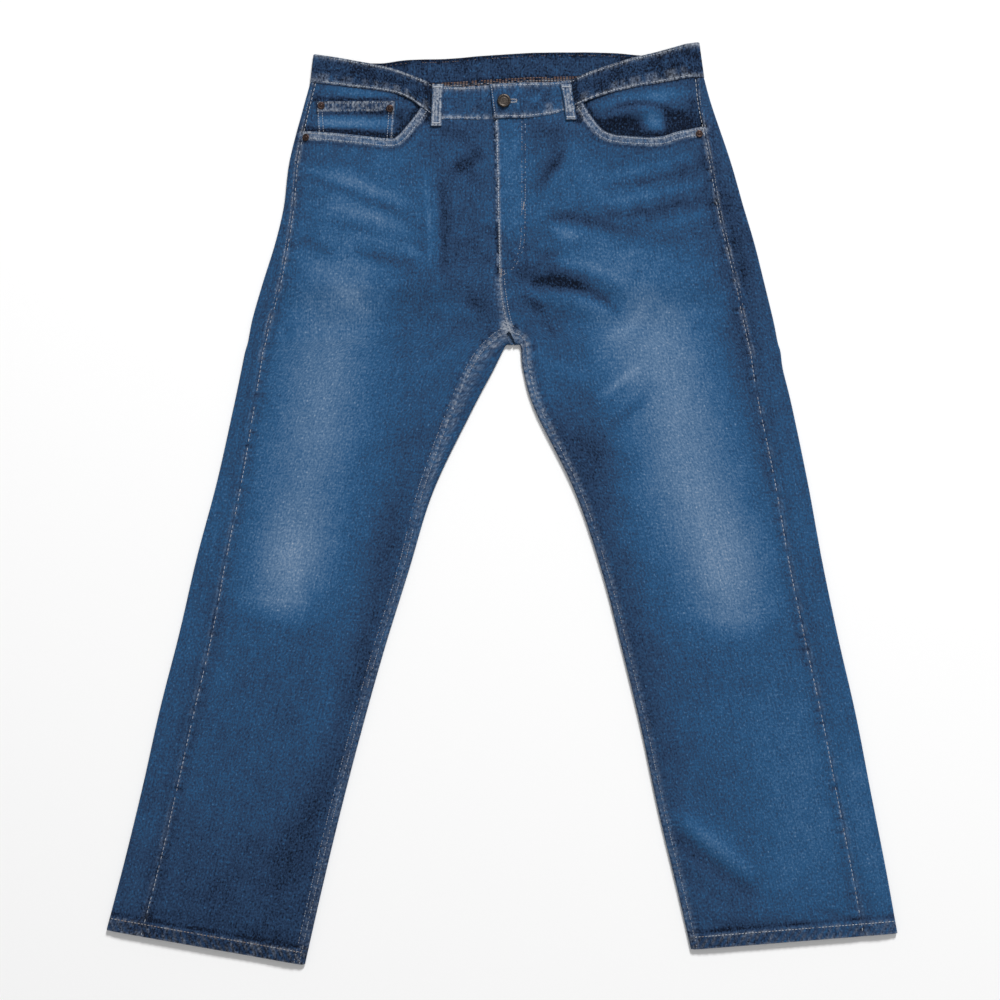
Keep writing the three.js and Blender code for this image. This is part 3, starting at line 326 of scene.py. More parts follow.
class Leg:
    """The plan of one leg: its folded edges, seams and rows."""

    def __init__(self, side):
        self.side, self.sign = side, -1 if side == "right" else 1
        self.table = np.array(STATIONS[side], float)
        front_band = BAND_FRONT_RIGHT if side == "right" else BAND_FRONT_LEFT
        self.low_band = [BAND_CORNERS[side], *front_band]
        last = len(self.table) - 1
        fine = np.linspace(0, last, STEPS * last + 1)
        plan = self.rows(fine)
        self.side_line, self.seam_line = plan["side"], plan["seam"]
        self.hem_line = np.stack([plan["outer"][-1], plan["seam"][-1]])
        self.outer_line = np.vstack([[BAND_CORNERS[side][2:]], plan["outer"]])
        self.inner_line = plan["inner"][plan["wrap"] > 0]
        self.centre_back = plan["inner"][fine <= FORK]
        self.mouth_line = self.mouth()

    def rows(self, s):
        """Plan points of the rows at parameters s."""
        made = dict(zip(STATION, through(self.table, s).T))
        outer, seam, inner = (
            np.stack([made[line + "_x"], made[line + "_y"]], 1) for line in ("outer", "seam", "inner")
        )
        side = towards(outer, seam, made["side"])
        return dict(outer=outer, seam=seam, inner=inner, side=side, wrap=made["wrap"])

    def row(self, number):
        """Plan points of one row: outer, seam, inner and side."""
        return {line: points[0] for line, points in self.rows(np.array([float(number)])).items()}

    def mouth(self):
        """The pocket mouth between the side seam and the waist seam."""
        curve = through(MOUTHS[self.side], np.linspace(0, len(MOUTHS[self.side]) - 1, 400))
        x_side = np.interp(-curve[:, 1], -self.side_line[:, 1], self.side_line[:, 0])
        on_panel = self.sign * curve[:, 0] < self.sign * x_side
        return curve[on_panel & (curve[:, 1] < edge_at(self.low_band, curve[:, 0]) - SEAM_GAP)]


LEGS = {side: Leg(side) for side in ("right", "left")}
FORK_LINE = np.vstack([LEGS["right"].inner_line[::-1], LEGS["left"].inner_line[1:]])
OUTER_LINES = [LEGS["right"].outer_line, LEGS["left"].outer_line]
BACK_BAND = [BAND_CORNERS["right"], *BAND_BACK, BAND_CORNERS["left"]]


def curve_of(fold, count=24):
    """Points of a fold's quadratic curve."""
    start, middle, end = np.array(fold[:6], float).reshape(3, 2)
    t = np.linspace(0, 1, count)[:, None]
    return (1 - t) ** 2 * start + 2 * t * (1 - t) * middle + t * t * end


def fold_height(folds, x, y):
    """A bell across each fold's curve, fading towards its two ends."""
    total = np.zeros(np.shape(x))
    for fold in folds:
        line = curve_of(fold)
        width, height = fold[6:]
        near = np.hypot(x - line[12, 0], y - line[12, 1]) < length_along(line)[-1] + 4 * width
        if near.any():
            away, _, along = field(line, x[near], y[near])
            fade = np.sqrt(np.maximum(np.sin(math.pi * along / length_along(line)[-1]), 0))
            total[near] += height * fade * bell(away, 0, width)
    return total


def zone_at(zone, x, y):
    """One inside a zone that both sides of the jeans have, falling to 0 over its ramp."""
    in_x = plateau(np.abs(x) - zone["centre_x"], zone["half_x"], zone["ramp"])
    return in_x * plateau(y - zone["centre_y"], zone["half_y"], zone["ramp"])


def lift(x, y):
    """How far the back layer is raised by the back pockets and back loops under it."""
    raised = BACK_POCKET_LIFT * zone_at(BACK_POCKET_ZONE, x, y)
    for loop in BACK_LOOPS.values():
        near = plateau(x - loop[0], LOOP_ZONE["half"], LOOP_ZONE["ramp"])
        in_band = smooth((y - LOOP_ZONE["low"]) / LOOP_ZONE["ramp"])
        raised = np.maximum(raised, LOOP_LIFT * near * in_band)
    return raised


def back_level(x, y):
    """Middle of the back layer, on the floor."""
    return FLOOR_MID + lift(x, y)


def puckers(line, x, y, pitch, reach, depth, seed, side=0.0):
    """Dimples that the thread pulls along a seam: uneven, a pitch apart, fading over the reach."""
    away, across, along = field(line, x, y)
    beat = np.sin(2 * math.pi * along / pitch + 2.2 * ripple(along, 0 * along, 2.7 * pitch, seed))
    power = 0.6 + 0.4 * ripple(along, 0 * along + 9, 5 * pitch, seed + 1)
    shift = bell(away, reach * 0.6, reach) * (1 - side * across * 0.5)
    return -depth * power * np.maximum(beat, -0.3) * shift


def front_level(x, y):
    """Middle of the front layer: level with the folded edges, crowned inside them, with the
    pocket layers under it, the folds, the turned edges and the puckers of its seams."""
    x, y = np.asarray(x, float), np.asarray(y, float)
    from_outer = np.minimum(*(field(line, x, y)[0] for line in OUTER_LINES)) - FOLD_RADIUS
    from_fork = field(FORK_LINE, x, y)[0] - FOLD_RADIUS
    inside = smooth(from_outer / CROWN_REACH) * smooth(from_fork / CROWN_REACH)
    gape_x, gape_y = (x - GAPE["x"]) / GAPE["radius_x"], (y - GAPE["y"]) / GAPE["radius_y"]
    rise = CROWN + POCKET_RISE * zone_at(POCKET_ZONE, x, y) + lift(x, y)
    rise = rise + GAPE["rise"] * np.exp(-(gape_x**2) - gape_y**2) + fold_height(FOLDS, x, y)
    slack = fold_height(SMALL_FOLDS, x, y) + 0.32 * ripple(x, y, 62, 11) + 0.14 * ripple(x, y, 23, 12)
    below_band = smooth((505 - y) / 30)
    return EDGE_MID + inside * rise + np.minimum(inside, below_band) * slack + seam_relief(x, y)


def notches(along, away, shown, pitch, reach, seed):
    """Short dents that run out from a seam where shown, unevenly a pitch apart, from 0 to 1."""
    beat = np.sin(2 * math.pi * along / pitch + 3 * ripple(along, 0 * along, 2.3 * pitch, seed))
    power = 0.55 + 0.45 * ripple(along, 0 * along + 5, 1.7 * pitch, seed + 1)
    return np.where(shown, np.maximum(beat, 0) ** 4 * power * bell(away, 0.4 * reach, reach), 0)


def seam_notches(leg, along, away, across):
    """The dents beside a leg's side seam, on its outer side."""
    return notches(along, away, across * leg.sign < 0, 19, 7, 33 + leg.sign)


def hem_roping(at_hem, from_hem):
    """The slanting twist of a worn hem, from -1 to 1."""
    return np.sin(2 * math.pi * (at_hem + 0.7 * from_hem) / 9 + 2 * ripple(at_hem, from_hem, 30, 51))


def seam_relief(x, y):
    """Turned edges that stand a little higher, the seams' grooves, and the puckers beside them."""
    total = np.zeros(np.shape(x))
    for leg in LEGS.values():
        near = leg.sign * x > -24
        px, py = x[near], y[near]
        below = smooth((edge_at(leg.low_band, px) - 4 - py) / 8)
        away, _, along = field(leg.mouth_line, px, py)
        part = 0.45 * plateau(away, 10.5, 1.6) * below
        part += below * puckers(leg.mouth_line, px, py, 5.5, 4, 0.22, 21)
        away, across, along = field(leg.side_line, px, py)
        part += puckers(leg.side_line, px, py, 16, 6, 0.5, 31 + leg.sign, 0.6 * leg.sign)
        part += -0.8 * seam_notches(leg, along, away, across) - 0.55 * bell(away, 0, 1.5)
        part += puckers(leg.seam_line[FORK * STEPS :], px, py, 9, 5, 0.45, 41 + leg.sign)
        from_hem, _, at_hem = field(leg.hem_line, px, py)
        slant = hem_roping(at_hem, from_hem)
        part += plateau(from_hem, HEM_DEPTH - 0.6, 1.4) * (0.5 + 0.28 * slant)
        part += -0.8 * bell(from_hem, HEM_DEPTH + 5, 4) * (0.6 + 0.4 * slant)
        total[near] += part
    away, across, along = field(LEGS["left"].seam_line[: (FORK - 2) * STEPS + 1], x, y)
    band = plateau(away, 34, 2) * smooth((y - 285) / 20)
    raised = 0.35 * band + 0.25 * plateau(away, 9, 1.5) * smooth((240 - y) / -30)
    sunk = -0.5 * plateau(away, 2, 6) * smooth((y - 285) / 20)
    total += np.where((across > 0) & (y < 484), raised, sunk)
    return total


cloth_pieces, cloth_grids = {}, {}


def shell(name, grid, wall, uv, values, material, node, face=1, reverse=1.0):
    """Closed cloth wall round a grid of middle points: the grid moved out and in by half the
    wall along its normals, and joined by a rim that bulges a little. Flat layers are as thick
    straight up, so that their cut edges stand upright. face is 1 where the cloth's right side
    is up at the grid's first column and -1 where it is down; reverse is how pale the other is."""
    rows, columns = grid.shape[:2]
    count = rows * columns
    normal = np.cross(np.gradient(grid, axis=0), np.gradient(grid, axis=1))
    normal /= np.linalg.norm(normal, axis=2, keepdims=True) + 1e-12
    upright = normal[..., 2:3]
    normal = np.where(np.abs(upright) > 0.8, np.sign(upright) * np.array([0, 0, 1.0]), normal)
    index = np.arange(count).reshape(rows, columns)
    edge = np.concatenate([index[:-1, 0], index[-1, :-1], index[:0:-1, -1], index[0, :0:-1]])
    inner = np.concatenate([index[:-1, 1], index[-2, :-1], index[:0:-1, -2], index[1, :0:-1]])
    middle = grid.reshape(-1, 3)
    outwards = middle[edge] - middle[inner]
    outwards /= np.linalg.norm(outwards, axis=1, keepdims=True) + 1e-12
    rim = middle[edge] + outwards * wall * RIM_BULGE
    half = (normal * wall / 2).reshape(-1, 3)
    points = np.vstack([middle + half, middle - half, rim])
    a, b, c, d = (part.ravel() for part in (index[:-1, :-1], index[1:, :-1], index[1:, 1:], index[:-1, 1:]))
    ring = 2 * count + np.arange(len(edge))
    after, ring_after = np.roll(edge, -1), np.roll(ring, -1)
    faces = np.vstack([
        np.stack([a, b, c, d], 1),
        np.stack([a, d, c, b], 1) + count,
        np.stack([after, edge, ring, ring_after], 1),
        np.stack([ring_after, ring, edge + count, after + count], 1),
    ])
    corner = points[faces]
    volume = (corner[:, 0] * np.cross(corner[:, 1], corner[:, 2])).sum()
    volume += (corner[:, 0] * np.cross(corner[:, 2], corner[:, 3])).sum()
    if volume < 0:
        faces = faces[:, ::-1]

    def spread(value):
        """The same value on both faces of the wall and on its rim."""
        flat = np.broadcast_to(value, (rows, columns)).ravel()
        return np.concatenate([flat, flat, flat[edge]])

    first = 0.0 if normal[rows // 2, 0, 2] * face > 0 else 1.0
    inside = np.concatenate([np.full(count, first), np.full(count, 1 - first), np.full(len(edge), 0.3)])
    values = {key: spread(value) for key, value in values.items()} | {"inside": inside * reverse}
    made = mesh_piece(name, points, faces.tolist(), values, material, node)
    plan = np.stack([spread(uv[0]), spread(uv[1])], 1)
    layer = made.data.uv_layers.new(name="cloth")
    layer.data.foreach_set("uv", plan[faces.ravel()].astype(np.float32).ravel())
    cloth_pieces[node], cloth_grids[node] = made, grid


def mesh_piece(name, points, faces, values, material, node=None):
    """A finished piece from points in millimetres, with its attributes and its material. It
    takes the place of the solid that is named."""
    mesh = bpy.data.meshes.new(name)
    mesh.from_pydata((np.asarray(points) * MM).tolist(), [], faces)
    for key, value in values.items():
        mesh.attributes.new(key, "FLOAT", "POINT").data.foreach_set("value", np.asarray(value, np.float32))
    mesh.polygons.foreach_set("use_smooth", np.ones(len(mesh.polygons), bool))
    mesh.set_sharp_from_angle(angle=math.radians(38))
    made = bpy.data.objects.new(name, mesh)
    bpy.context.scene.collection.objects.link(made)
    made.data.materials.append(material)
    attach(made, "root")
    if node:
        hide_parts(node)
    return made


def front_grid(leg, pitch=2.7):
    """Plan of a front panel: from its pocket mouth and waist seam to the hip row as a patch
    between four edges, and on down to the hem by rows. Returns points and cloth coordinates."""
    hip = leg.row(HIP)
    waist_x = np.linspace(leg.mouth_line[-1, 0], leg.seam_line[0, 0], 60)
    waist = np.stack([waist_x, edge_at(leg.low_band, waist_x) - SEAM_GAP], 1)
    mouth_run, waist_run = length_along(leg.mouth_line)[-1], length_along(waist)[-1]
    columns = int((mouth_run + waist_run) / pitch)
    on_mouth = int(columns * mouth_run / (mouth_run + waist_run))
    upper = np.vstack([evenly(leg.mouth_line, on_mouth + 1), evenly(waist, columns - on_mouth + 1)[1:]])
    t = np.linspace(0, 1, columns + 1)
    lower = hip["side"] + (hip["seam"] - hip["side"]) * t[:, None]
    rows = int(np.abs(upper[:, 1] - lower[:, 1]).max() / pitch)
    v = np.linspace(0, 1, rows + 1)[:-1, None]

    def between(line, start, end):
        y = mix(start[1], end[1], v[:, 0])
        return np.stack([np.interp(-y, -line[:, 1], line[:, 0]), y], 1)

    first = between(leg.side_line, upper[0], lower[0])
    last = between(leg.seam_line[: (HIP + 1) * STEPS + 1], upper[-1], lower[-1])
    patch = upper[None] * (1 - v[..., None]) + lower[None] * v[..., None]
    to_first, to_last = (first - patch[:, 0])[:, None], (last - patch[:, -1])[:, None]
    patch += (1 - t)[None, :, None] * to_first + t[None, :, None] * to_last
    s = even_parameters(leg.table, [3, 4], int(1010 / pitch), HIP)
    plan = leg.rows(s)
    body = plan["side"][:, None] + (plan["seam"] - plan["side"])[:, None] * t[None, :, None]
    width = np.linalg.norm(plan["seam"] - plan["side"], axis=1)
    run = length_along((plan["side"] + plan["seam"]) / 2)
    share = (t - 0.5) * -leg.sign
    across = np.vstack([patch[..., 0] - lower[:, 0] + share * width[0], share * width[:, None]])
    down = np.vstack([lower[:, 1] - patch[..., 1], np.broadcast_to(run[:, None], (len(s), columns + 1))])
    return np.vstack([patch, body]), across, down


def on_front(plan):
    """Plan points raised to the front layer."""
    return np.concatenate([plan, front_level(plan[..., 0], plan[..., 1])[..., None]], axis=-1)


def on_front(plan):
    return np.concatenate([plan, front_level(plan[..., 0], plan[..., 1])[..., None]], axis=-1)


BULGE_ROWS = 3.0  # rows over which the back's curved waist seam eases to straight rows


def back_rows(leg, s, top_columns, floor_columns):
    """A back panel's rows: from the side seam round the folded outer edge, under the leg, and
    round the folded inner edge to the inseam, or flat to the centre back above the fork."""
    plan = leg.rows(s)
    outer, seam, inner, side, wrap = (plan[k] for k in ("outer", "seam", "inner", "side", "wrap"))
    inwards = (side - outer) / np.linalg.norm(side - outer, axis=1, keepdims=True)
    fold = outer + inwards * FOLD_RADIUS
    parts = []
    t = np.linspace(0, 1, top_columns + 1)[:-1]
    strip = side[:, None] + (fold - side)[:, None] * t[None, :, None]
    parts.append(on_front(strip))
    arc = np.linspace(0, math.pi, 9)[:-1]
    middle = FLOOR_MID + FOLD_RADIUS
    turn = fold[:, None] - inwards[:, None] * FOLD_RADIUS * np.sin(arc)[None, :, None]
    join = (front_level(fold[:, 0], fold[:, 1]) - EDGE_MID)[:, None] * ((1 + np.cos(arc)) / 2)[None]
    parts.append(np.concatenate([turn, (middle + FOLD_RADIUS * np.cos(arc)[None] + join)[..., None]], -1))
    folded = wrap[:, None] > 0
    outwards = np.where(folded, inner - seam, inner - fold)
    outwards /= np.linalg.norm(outwards, axis=1, keepdims=True)
    angle = np.clip(wrap, 0, 1) * math.pi
    bend = np.where(wrap > 0, FOLD_RADIUS * np.sin(np.minimum(angle, math.pi / 2)), 6.0)
    last = inner - outwards * bend[:, None]
    t = np.linspace(0, 1, floor_columns + 1)[:-1]
    floor = fold[:, None] + (last - fold)[:, None] * t[None, :, None]
    at_waist = leg.row(0)
    start, end = at_waist["outer"], at_waist["inner"]
    share = np.clip((floor[..., 0] - start[0]) / (end[0] - start[0]), 0, 1)
    bulge = edge_at(BACK_BAND, floor[..., 0]) - SEAM_GAP - mix(start[1], end[1], share)
    floor[..., 1] += bulge * (1 - smooth(s / BULGE_ROWS)[:, None]) * smooth(share / 0.12)
    parts.append(np.concatenate([floor, back_level(floor[..., 0], floor[..., 1])[..., None]], -1))
    k = np.linspace(0, 1, 9)
    swing = angle[:, None] * k[None]
    reach = np.where(folded, FOLD_RADIUS * np.sin(swing), 4 * k[None])
    end = last[:, None] + outwards[:, None] * reach[..., None]
    x, y = end[..., 0], end[..., 1]
    level = np.where(folded, FLOOR_MID + FOLD_RADIUS * (1 - np.cos(swing)), back_level(x, y))
    parts.append(np.concatenate([end, level[..., None]], -1))
    t = np.linspace(0, 1, 4)[1:]
    wrapped = wrap[:, None] > 0.99
    up_to_seam = end[:, -1:] + (seam[:, None] - end[:, -1:]) * t[None, :, None]
    flat_tail = last[:, None] + outwards[:, None] * (4 + 2 * t)[None, :, None]
    tail = np.where(folded[..., None], end[:, -1:] + 0 * up_to_seam, flat_tail)
    tail = np.where(wrapped[..., None], up_to_seam, tail)
    x, y = tail[..., 0], tail[..., 1]
    level = np.where(folded, parts[-1][:, -1:, 2] + t[None], back_level(x, y))
    level = np.where(wrapped, front_level(x, y), level)
    parts.append(np.concatenate([tail, level[..., None]], -1))
    grid = np.concatenate(parts, axis=1)
    step = np.linalg.norm(np.diff(grid, axis=1), axis=2)
    over = np.concatenate([np.zeros((len(s), 1)), np.cumsum(step, axis=1)], axis=1)
    run = length_along(side)[:, None] + 0 * over
    return grid, over * leg.sign, run


# Tone of the cloth: 0 is the deepest indigo and 1 is worn pale. Each patch is an ellipse: its
# middle x and y, its radii, its lean in degrees and its change of tone.
BASE_TONE = 0.39
PATCHES = [
    (0, 440, 420, 190, 0, -0.05),  # all of the top
    (300, 330, 26, 120, 14, -0.12),  # outer sides of the thighs and of the left shin
    (-306, 300, 16, 120, -12, -0.1),
    (452, -400, 26, 120, 12, 0.12),
    (-202, 204, 48, 110, -8, 0.05),  # right thigh
    (-268, -72, 42, 62, -10, 0.3),  # right knee
    (-171, 372, 88, 84, 0, 0.19),  # right hip
    (-215, 352, 36, 28, 0, 0.08),
    (-46, 372, 34, 100, 0, -0.06),  # between the right pocket and the fly
    (-300, -540, 210, 170, 0, -0.2),  # foot of the right leg
    (-205, -440, 50, 120, -14, -0.07),
    (160, 198, 56, 46, 0, 0.14),  # left thigh
    (282, -80, 42, 74, 12, 0.22),  # left knee
    (105, 392, 78, 60, 0, 0.15),  # left hip
    (122, 316, 56, 24, 0, 0.16),
    # painted shade in the hollow under the fly
    (66, 286, 44, 18, -8, -0.14),  # hollow under the fly
    (104, 350, 60, 13, 4, -0.08),
    (262, 372, 24, 90, 10, -0.06),  # below the left pocket
    (372, -350, 76, 190, 10, 0.15),  # outer side of the left shin
    (260, -560, 190, 50, 0, -0.08),
    (12, 425, 18, 44, 0, 0.22),  # on the fly
    (12, 362, 16, 24, 0, 0.16),
    # painted shade under the band's lower edge
    (62, 466, 34, 12, 0, -0.12),  # under the band
    (-64, 466, 30, 12, 0, -0.1),
    (120, 66, 28, 90, 10, -0.12),  # inner side of the left thigh
    (197, 342, 40, 36, 0, -0.06),
    # painted shade above the fork
    (-34, 246, 26, 44, 0, -0.13),  # above the fork
    (301, 317, 14, 60, 12, -0.07),
    (-127, 373, 30, 30, 0, -0.04),
    (-100, 318, 30, 60, 0, -0.04),
]
# Fades that run along a curve, and the worn ridges and dark hollows of wrinkles; the dark
# hollows are partly painted shade, most of all the creases under the fly. They are written as
# folds, with the change of tone in place of the height.
FADES = [
    (-196, 336, -230, 86, -278, -150, 62, 0.4),  # down the right leg to the knee
    (172, 322, 214, 78, 298, -170, 66, 0.47),  # down the left leg to the knee
    (-92, 128, -172, -180, -230, -480, 24, -0.07),  # beside the right inseam
    (60, 132, 152, -60, 236, -480, 24, -0.13),  # beside the left inseam
    (279, 317, 300, 130, 342, -30, 18, -0.08),  # beside the left side seam
]
WRINKLES = [
    (-252, 419, -196, 409, -115, 373, 7, 0.12),  # right hip, spreading from the fly
    (-246, 407, -196, 391, -121, 361, 5, -0.09),
    (-221, 373, -165, 366, -96, 329, 8, 0.12),
    (-228, 354, -178, 346, -115, 317, 5, -0.09),
    (-190, 339, -134, 331, -88, 302, 7, 0.11),
    (-252, 329, -221, 319, -196, 302, 9, -0.1),
    (-190, 317, -146, 302, -109, 302, 8, -0.14),
    (-246, 302, -196, 279, -165, 229, 11, 0.08),
    (-98, 423, -88, 354, -90, 294, 4, 0.13),  # over the edge of the right pocket bag
    (-79, 423, -68, 354, -76, 279, 7, -0.1),
    (-71, 411, -46, 421, -21, 442, 8, -0.13),
    (-60, 330, -30, 320, -14, 300, 6, -0.06),
    (-90, 250, -60, 240, -30, 236, 6, 0.07),
    (122, 407, 185, 413, 248, 442, 6, 0.09),  # left hip
    (122, 393, 185, 398, 254, 425, 5, -0.09),
    (110, 376, 185, 379, 262, 406, 6, 0.09),
    (122, 360, 185, 361, 262, 384, 5, -0.09),
    (172, 344, 222, 348, 266, 367, 6, 0.08),
    (72, 361, 110, 354, 172, 332, 8, -0.1),
    (54, 350, 76, 341, 92, 328, 8, 0.13),
    # the dark ones below are painted shade in the creases under the fly
    (35, 277, 79, 284, 112, 264, 7, -0.16),  # under the fly
    (108, 265, 129, 256, 150, 236, 7, -0.13),
    (25, 259, 41, 252, 58, 239, 6, -0.12),
    (66, 303, 110, 302, 158, 277, 7, 0.11),
    (54, 228, 64, 218, 68, 204, 5, -0.1),
    (110, 198, 160, 210, 185, 254, 8, 0.07),
    (41, 386, 56, 411, 79, 442, 7, -0.14),
    (119, 129, 141, 148, 172, 172, 6, 0.15),  # left thigh
    (135, 98, 172, 118, 191, 154, 9, -0.1),
    (112, 84, 122, 51, 131, 20, 14, -0.03),
    (-330, -110, -290, -128, -240, -120, 9, 0.06),  # foot of the right knee fade
    (236, -128, 286, -160, 330, -128, 9, 0.06),
]


def add_patches(total, patches, x, y):
    """A tone with patches added, each a bell over an ellipse that leans."""
    for cx, cy, rx, ry, lean, gain in patches:
        c, s = math.cos(math.radians(lean)), math.sin(math.radians(lean))
        u, v = (x - cx) * c + (y - cy) * s, -(x - cx) * s + (y - cy) * c
        total = total + gain * np.exp(-((u / rx) ** 2) - (v / ry) ** 2)
    return total


def tone(x, y):
    """Worn tone of the cloth at each point: broad patches, some of them painted shade; fades and
    wrinkles; the folds' paler tops, partly wear and partly painted highlight, and painted shade
    in their hollows; and a slow mottle."""
    x, y = np.asarray(x, float), np.asarray(y, float)
    total = add_patches(BASE_TONE + 0 * x, PATCHES, x, y)
    total = total + fold_height(FADES, x, y) + 1.7 * fold_height(WRINKLES, x, y)
    # Paler on the folds' ridges, partly wear and partly painted highlight, and painted shade in their
    # troughs.
    total += 0.1 * fold_height(FOLDS, x, y) + 0.16 * fold_height(SMALL_FOLDS, x, y)
    fine_mottle = ripple(x, y, 17, 62) + ripple(x, y, 8, 63)
    total += 0.035 * ripple(x, y, 44, 61) + (0.03 + 0.018 * smooth((y - 150) / 150)) * fine_mottle
    return total


class Net:
    """Adds nodes to a tree and joins them. A value is a number, a colour or another node's output."""

    def __init__(self, tree):
        self.tree = tree

    def add(self, kind, values=None, **settings):
        made = self.tree.nodes.new(kind)
        for key, value in settings.items():
            setattr(made, key, value)
        for key, value in (values or {}).items():
            self.join(made.inputs[key], value)
        return made

    def join(self, socket, value):
        if isinstance(value, bpy.types.NodeSocket):
            self.tree.links.new(value, socket)
        else:
            socket.default_value = value

    def math(self, operation, a, b=0.0, c=0.0):
        return self.add("ShaderNodeMath", {0: a, 1: b, 2: c}, operation=operation).outputs[0]

    def ramp(self, value, stops):
        """A colour ramp through (position, colour) stops."""
        made = self.add("ShaderNodeValToRGB", {"Fac": value})
        elements = made.color_ramp.elements
        elements.remove(elements[1])
        elements[0].position, elements[0].color = stops[0][0], (*stops[0][1], 1)
        for place, colour in stops[1:]:
            elements.new(place).color = (*colour, 1)
        return made.outputs["Color"]

    def attribute(self, name):
        return self.add("ShaderNodeAttribute", attribute_name=name, attribute_type="GEOMETRY").outputs["Fac"]


def new_group(name, inputs, outputs):
    """An empty node group with named sockets. Returns its net, its inputs and its output node."""
    tree = bpy.data.node_groups.new(name, "ShaderNodeTree")
    for key, kind, value in inputs:
        socket = tree.interface.new_socket(name=key, in_out="INPUT", socket_type=kind)
        if value is not None:
            socket.default_value = value
    for key, kind in outputs:
        tree.interface.new_socket(name=key, in_out="OUTPUT", socket_type=kind)
    net = Net(tree)
    return net, net.add("NodeGroupInput").outputs, net.add("NodeGroupOutput").inputs


def twill_group():
    """Twill weave in cloth millimetres: slanting warp ribs, the pale weft that shows between
    them, and the uneven yarn as a mottle from -1 to 1."""
    net, given, out = new_group(
        "twill_weave",
        [
            ("Cloth", "NodeSocketVector", None),
            ("Repeat", "NodeSocketFloat", 1.5),
            ("Slub", "NodeSocketFloat", 1.0),
        ],
        [("Weft", "NodeSocketFloat"), ("Height", "NodeSocketFloat"), ("Mottle", "NodeSocketFloat")],
    )
    parts = net.add("ShaderNodeSeparateXYZ", {0: given["Cloth"]}).outputs
    turn = net.math("DIVIDE", 2 * math.pi, given["Repeat"])

    def wave(value):
        """A sine wave from 0 to 1."""
        return net.math("MULTIPLY_ADD", net.math("SINE", value), 0.5, 0.5)

    def noise(scale_x, scale_y, detail, **more):
        """Noise with its own scale along the weft and the warp."""
        scales = {0: given["Cloth"], 1: (scale_x, scale_y, 1)}
        at = net.add("ShaderNodeVectorMath", scales, operation="MULTIPLY").outputs[0]
        values = {"Vector": at, "Scale": 1.0, "Detail": detail, **more}
        return net.add("ShaderNodeTexNoise", values).outputs["Fac"]

    rib = wave(net.math("MULTIPLY", net.math("ADD", parts["X"], parts["Y"]), turn))
    pick = wave(net.math("MULTIPLY", net.math("MULTIPLY", parts["Y"], turn), 2.0))
    end = wave(net.math("MULTIPLY", net.math("MULTIPLY", parts["X"], turn), 2.0))
    grain = net.math("MULTIPLY_ADD", noise(0.46, 0.3, 2.0, Roughness=0.6), 12.5, -6.35)
    streak = net.math("MULTIPLY_ADD", noise(0.42, 0.03, 2.0), 4.0, -2.0)
    bar = net.math("MULTIPLY_ADD", noise(0.06, 0.5, 2.0), 1.6, -0.8)
    fleck = net.math("MAXIMUM", net.math("SUBTRACT", noise(0.4, 0.36, 0.0), 0.6), 0.0)
    uneven = net.math("ADD", net.math("ADD", grain, streak), bar)
    uneven = net.math("ADD", uneven, net.math("MULTIPLY", fleck, 15.0))
    net.join(out["Mottle"], net.math("MULTIPLY", uneven, given["Slub"]))
    net.join(out["Weft"], net.math("MULTIPLY", net.math("SUBTRACT", 1.0, rib), pick))
    net.join(out["Height"], net.math("MULTIPLY_ADD", end, 0.35, net.math("MULTIPLY", rib, 0.65)))
    return net.tree


# Deep to worn indigo, as linear colours at each tone
PALEST = 1.4
INDIGO = [
    (0.0, (0.003, 0.006, 0.015)),
    (0.08, (0.008, 0.019, 0.046)),
    (0.15, (0.013, 0.029, 0.066)),
    (0.25, (0.018, 0.041, 0.094)),
    (0.36, (0.023, 0.056, 0.122)),
    (0.45, (0.020, 0.069, 0.156)),
    (0.55, (0.020, 0.084, 0.197)),
    (0.70, (0.045, 0.117, 0.237)),
    (0.80, (0.068, 0.141, 0.258)),
    (0.93, (0.098, 0.180, 0.306)),
    (1.10, (0.165, 0.245, 0.365)),
    (PALEST, (0.33, 0.39, 0.48)),
]
REVERSE = [(0.0, (0.12, 0.15, 0.2)), (1.0, (0.42, 0.45, 0.5))]
RUBBED = (0.27, 0.3, 0.35, 1)


def indigo_group():
    """Colour of worn indigo cloth: the tone and the weave's unevenness pick a colour on one
    ramp, rubbed edges go to a pale grey in flecks, and the cloth's reverse is paler too."""
    net, given, out = new_group(
        "worn_indigo",
        [
            ("Tone", "NodeSocketFloat", 0.4),
            ("Mottle", "NodeSocketFloat", 0.0),
            ("Weft", "NodeSocketFloat", 0.0),
            ("Rub", "NodeSocketFloat", 0.0),
            ("Inside", "NodeSocketFloat", 0.0),
            ("Contrast", "NodeSocketFloat", 0.075),
        ],
        [("Color", "NodeSocketColor")],
    )
    at = net.math("MULTIPLY_ADD", given["Mottle"], given["Contrast"], given["Tone"])
    at = net.math("DIVIDE", net.math("MULTIPLY_ADD", given["Weft"], 0.07, at), PALEST)
    face = net.ramp(at, [(place / PALEST, colour) for place, colour in INDIGO])
    reverse = net.ramp(at, REVERSE)
    rub = net.math("MULTIPLY", given["Rub"], net.math("MULTIPLY_ADD", given["Mottle"], 0.4, 1.0))
    rub = net.add("ShaderNodeClamp", {"Value": rub}).outputs[0]
    rubbed = net.add("ShaderNodeMix", {0: rub, 6: face, 7: RUBBED}, data_type="RGBA").outputs[2]
    blend = net.add("ShaderNodeMix", {0: given["Inside"], 6: rubbed, 7: reverse}, data_type="RGBA")
    net.join(out["Color"], blend.outputs[2])
    return net.tree


TWILL, INDIGO_COLOUR = twill_group(), indigo_group()


def new_material(name, **sockets):
    """A material whose shader has these values on its own sockets. Returns it, its net and its
    shader."""
    material = bpy.data.materials.new(name)
    material.use_nodes = True
    shader = material.node_tree.nodes["Principled BSDF"]
    for key, value in sockets.items():
        shader.inputs[key.replace("_", " ")].default_value = value
    return material, Net(material.node_tree), shader


def weave_bump(net, shader, height, depth):
    """A bump of this depth in metres."""
    bump = net.add("ShaderNodeBump", {"Height": height, "Strength": 1.0, "Distance": depth})
    net.join(shader.inputs["Normal"], bump.outputs["Normal"])


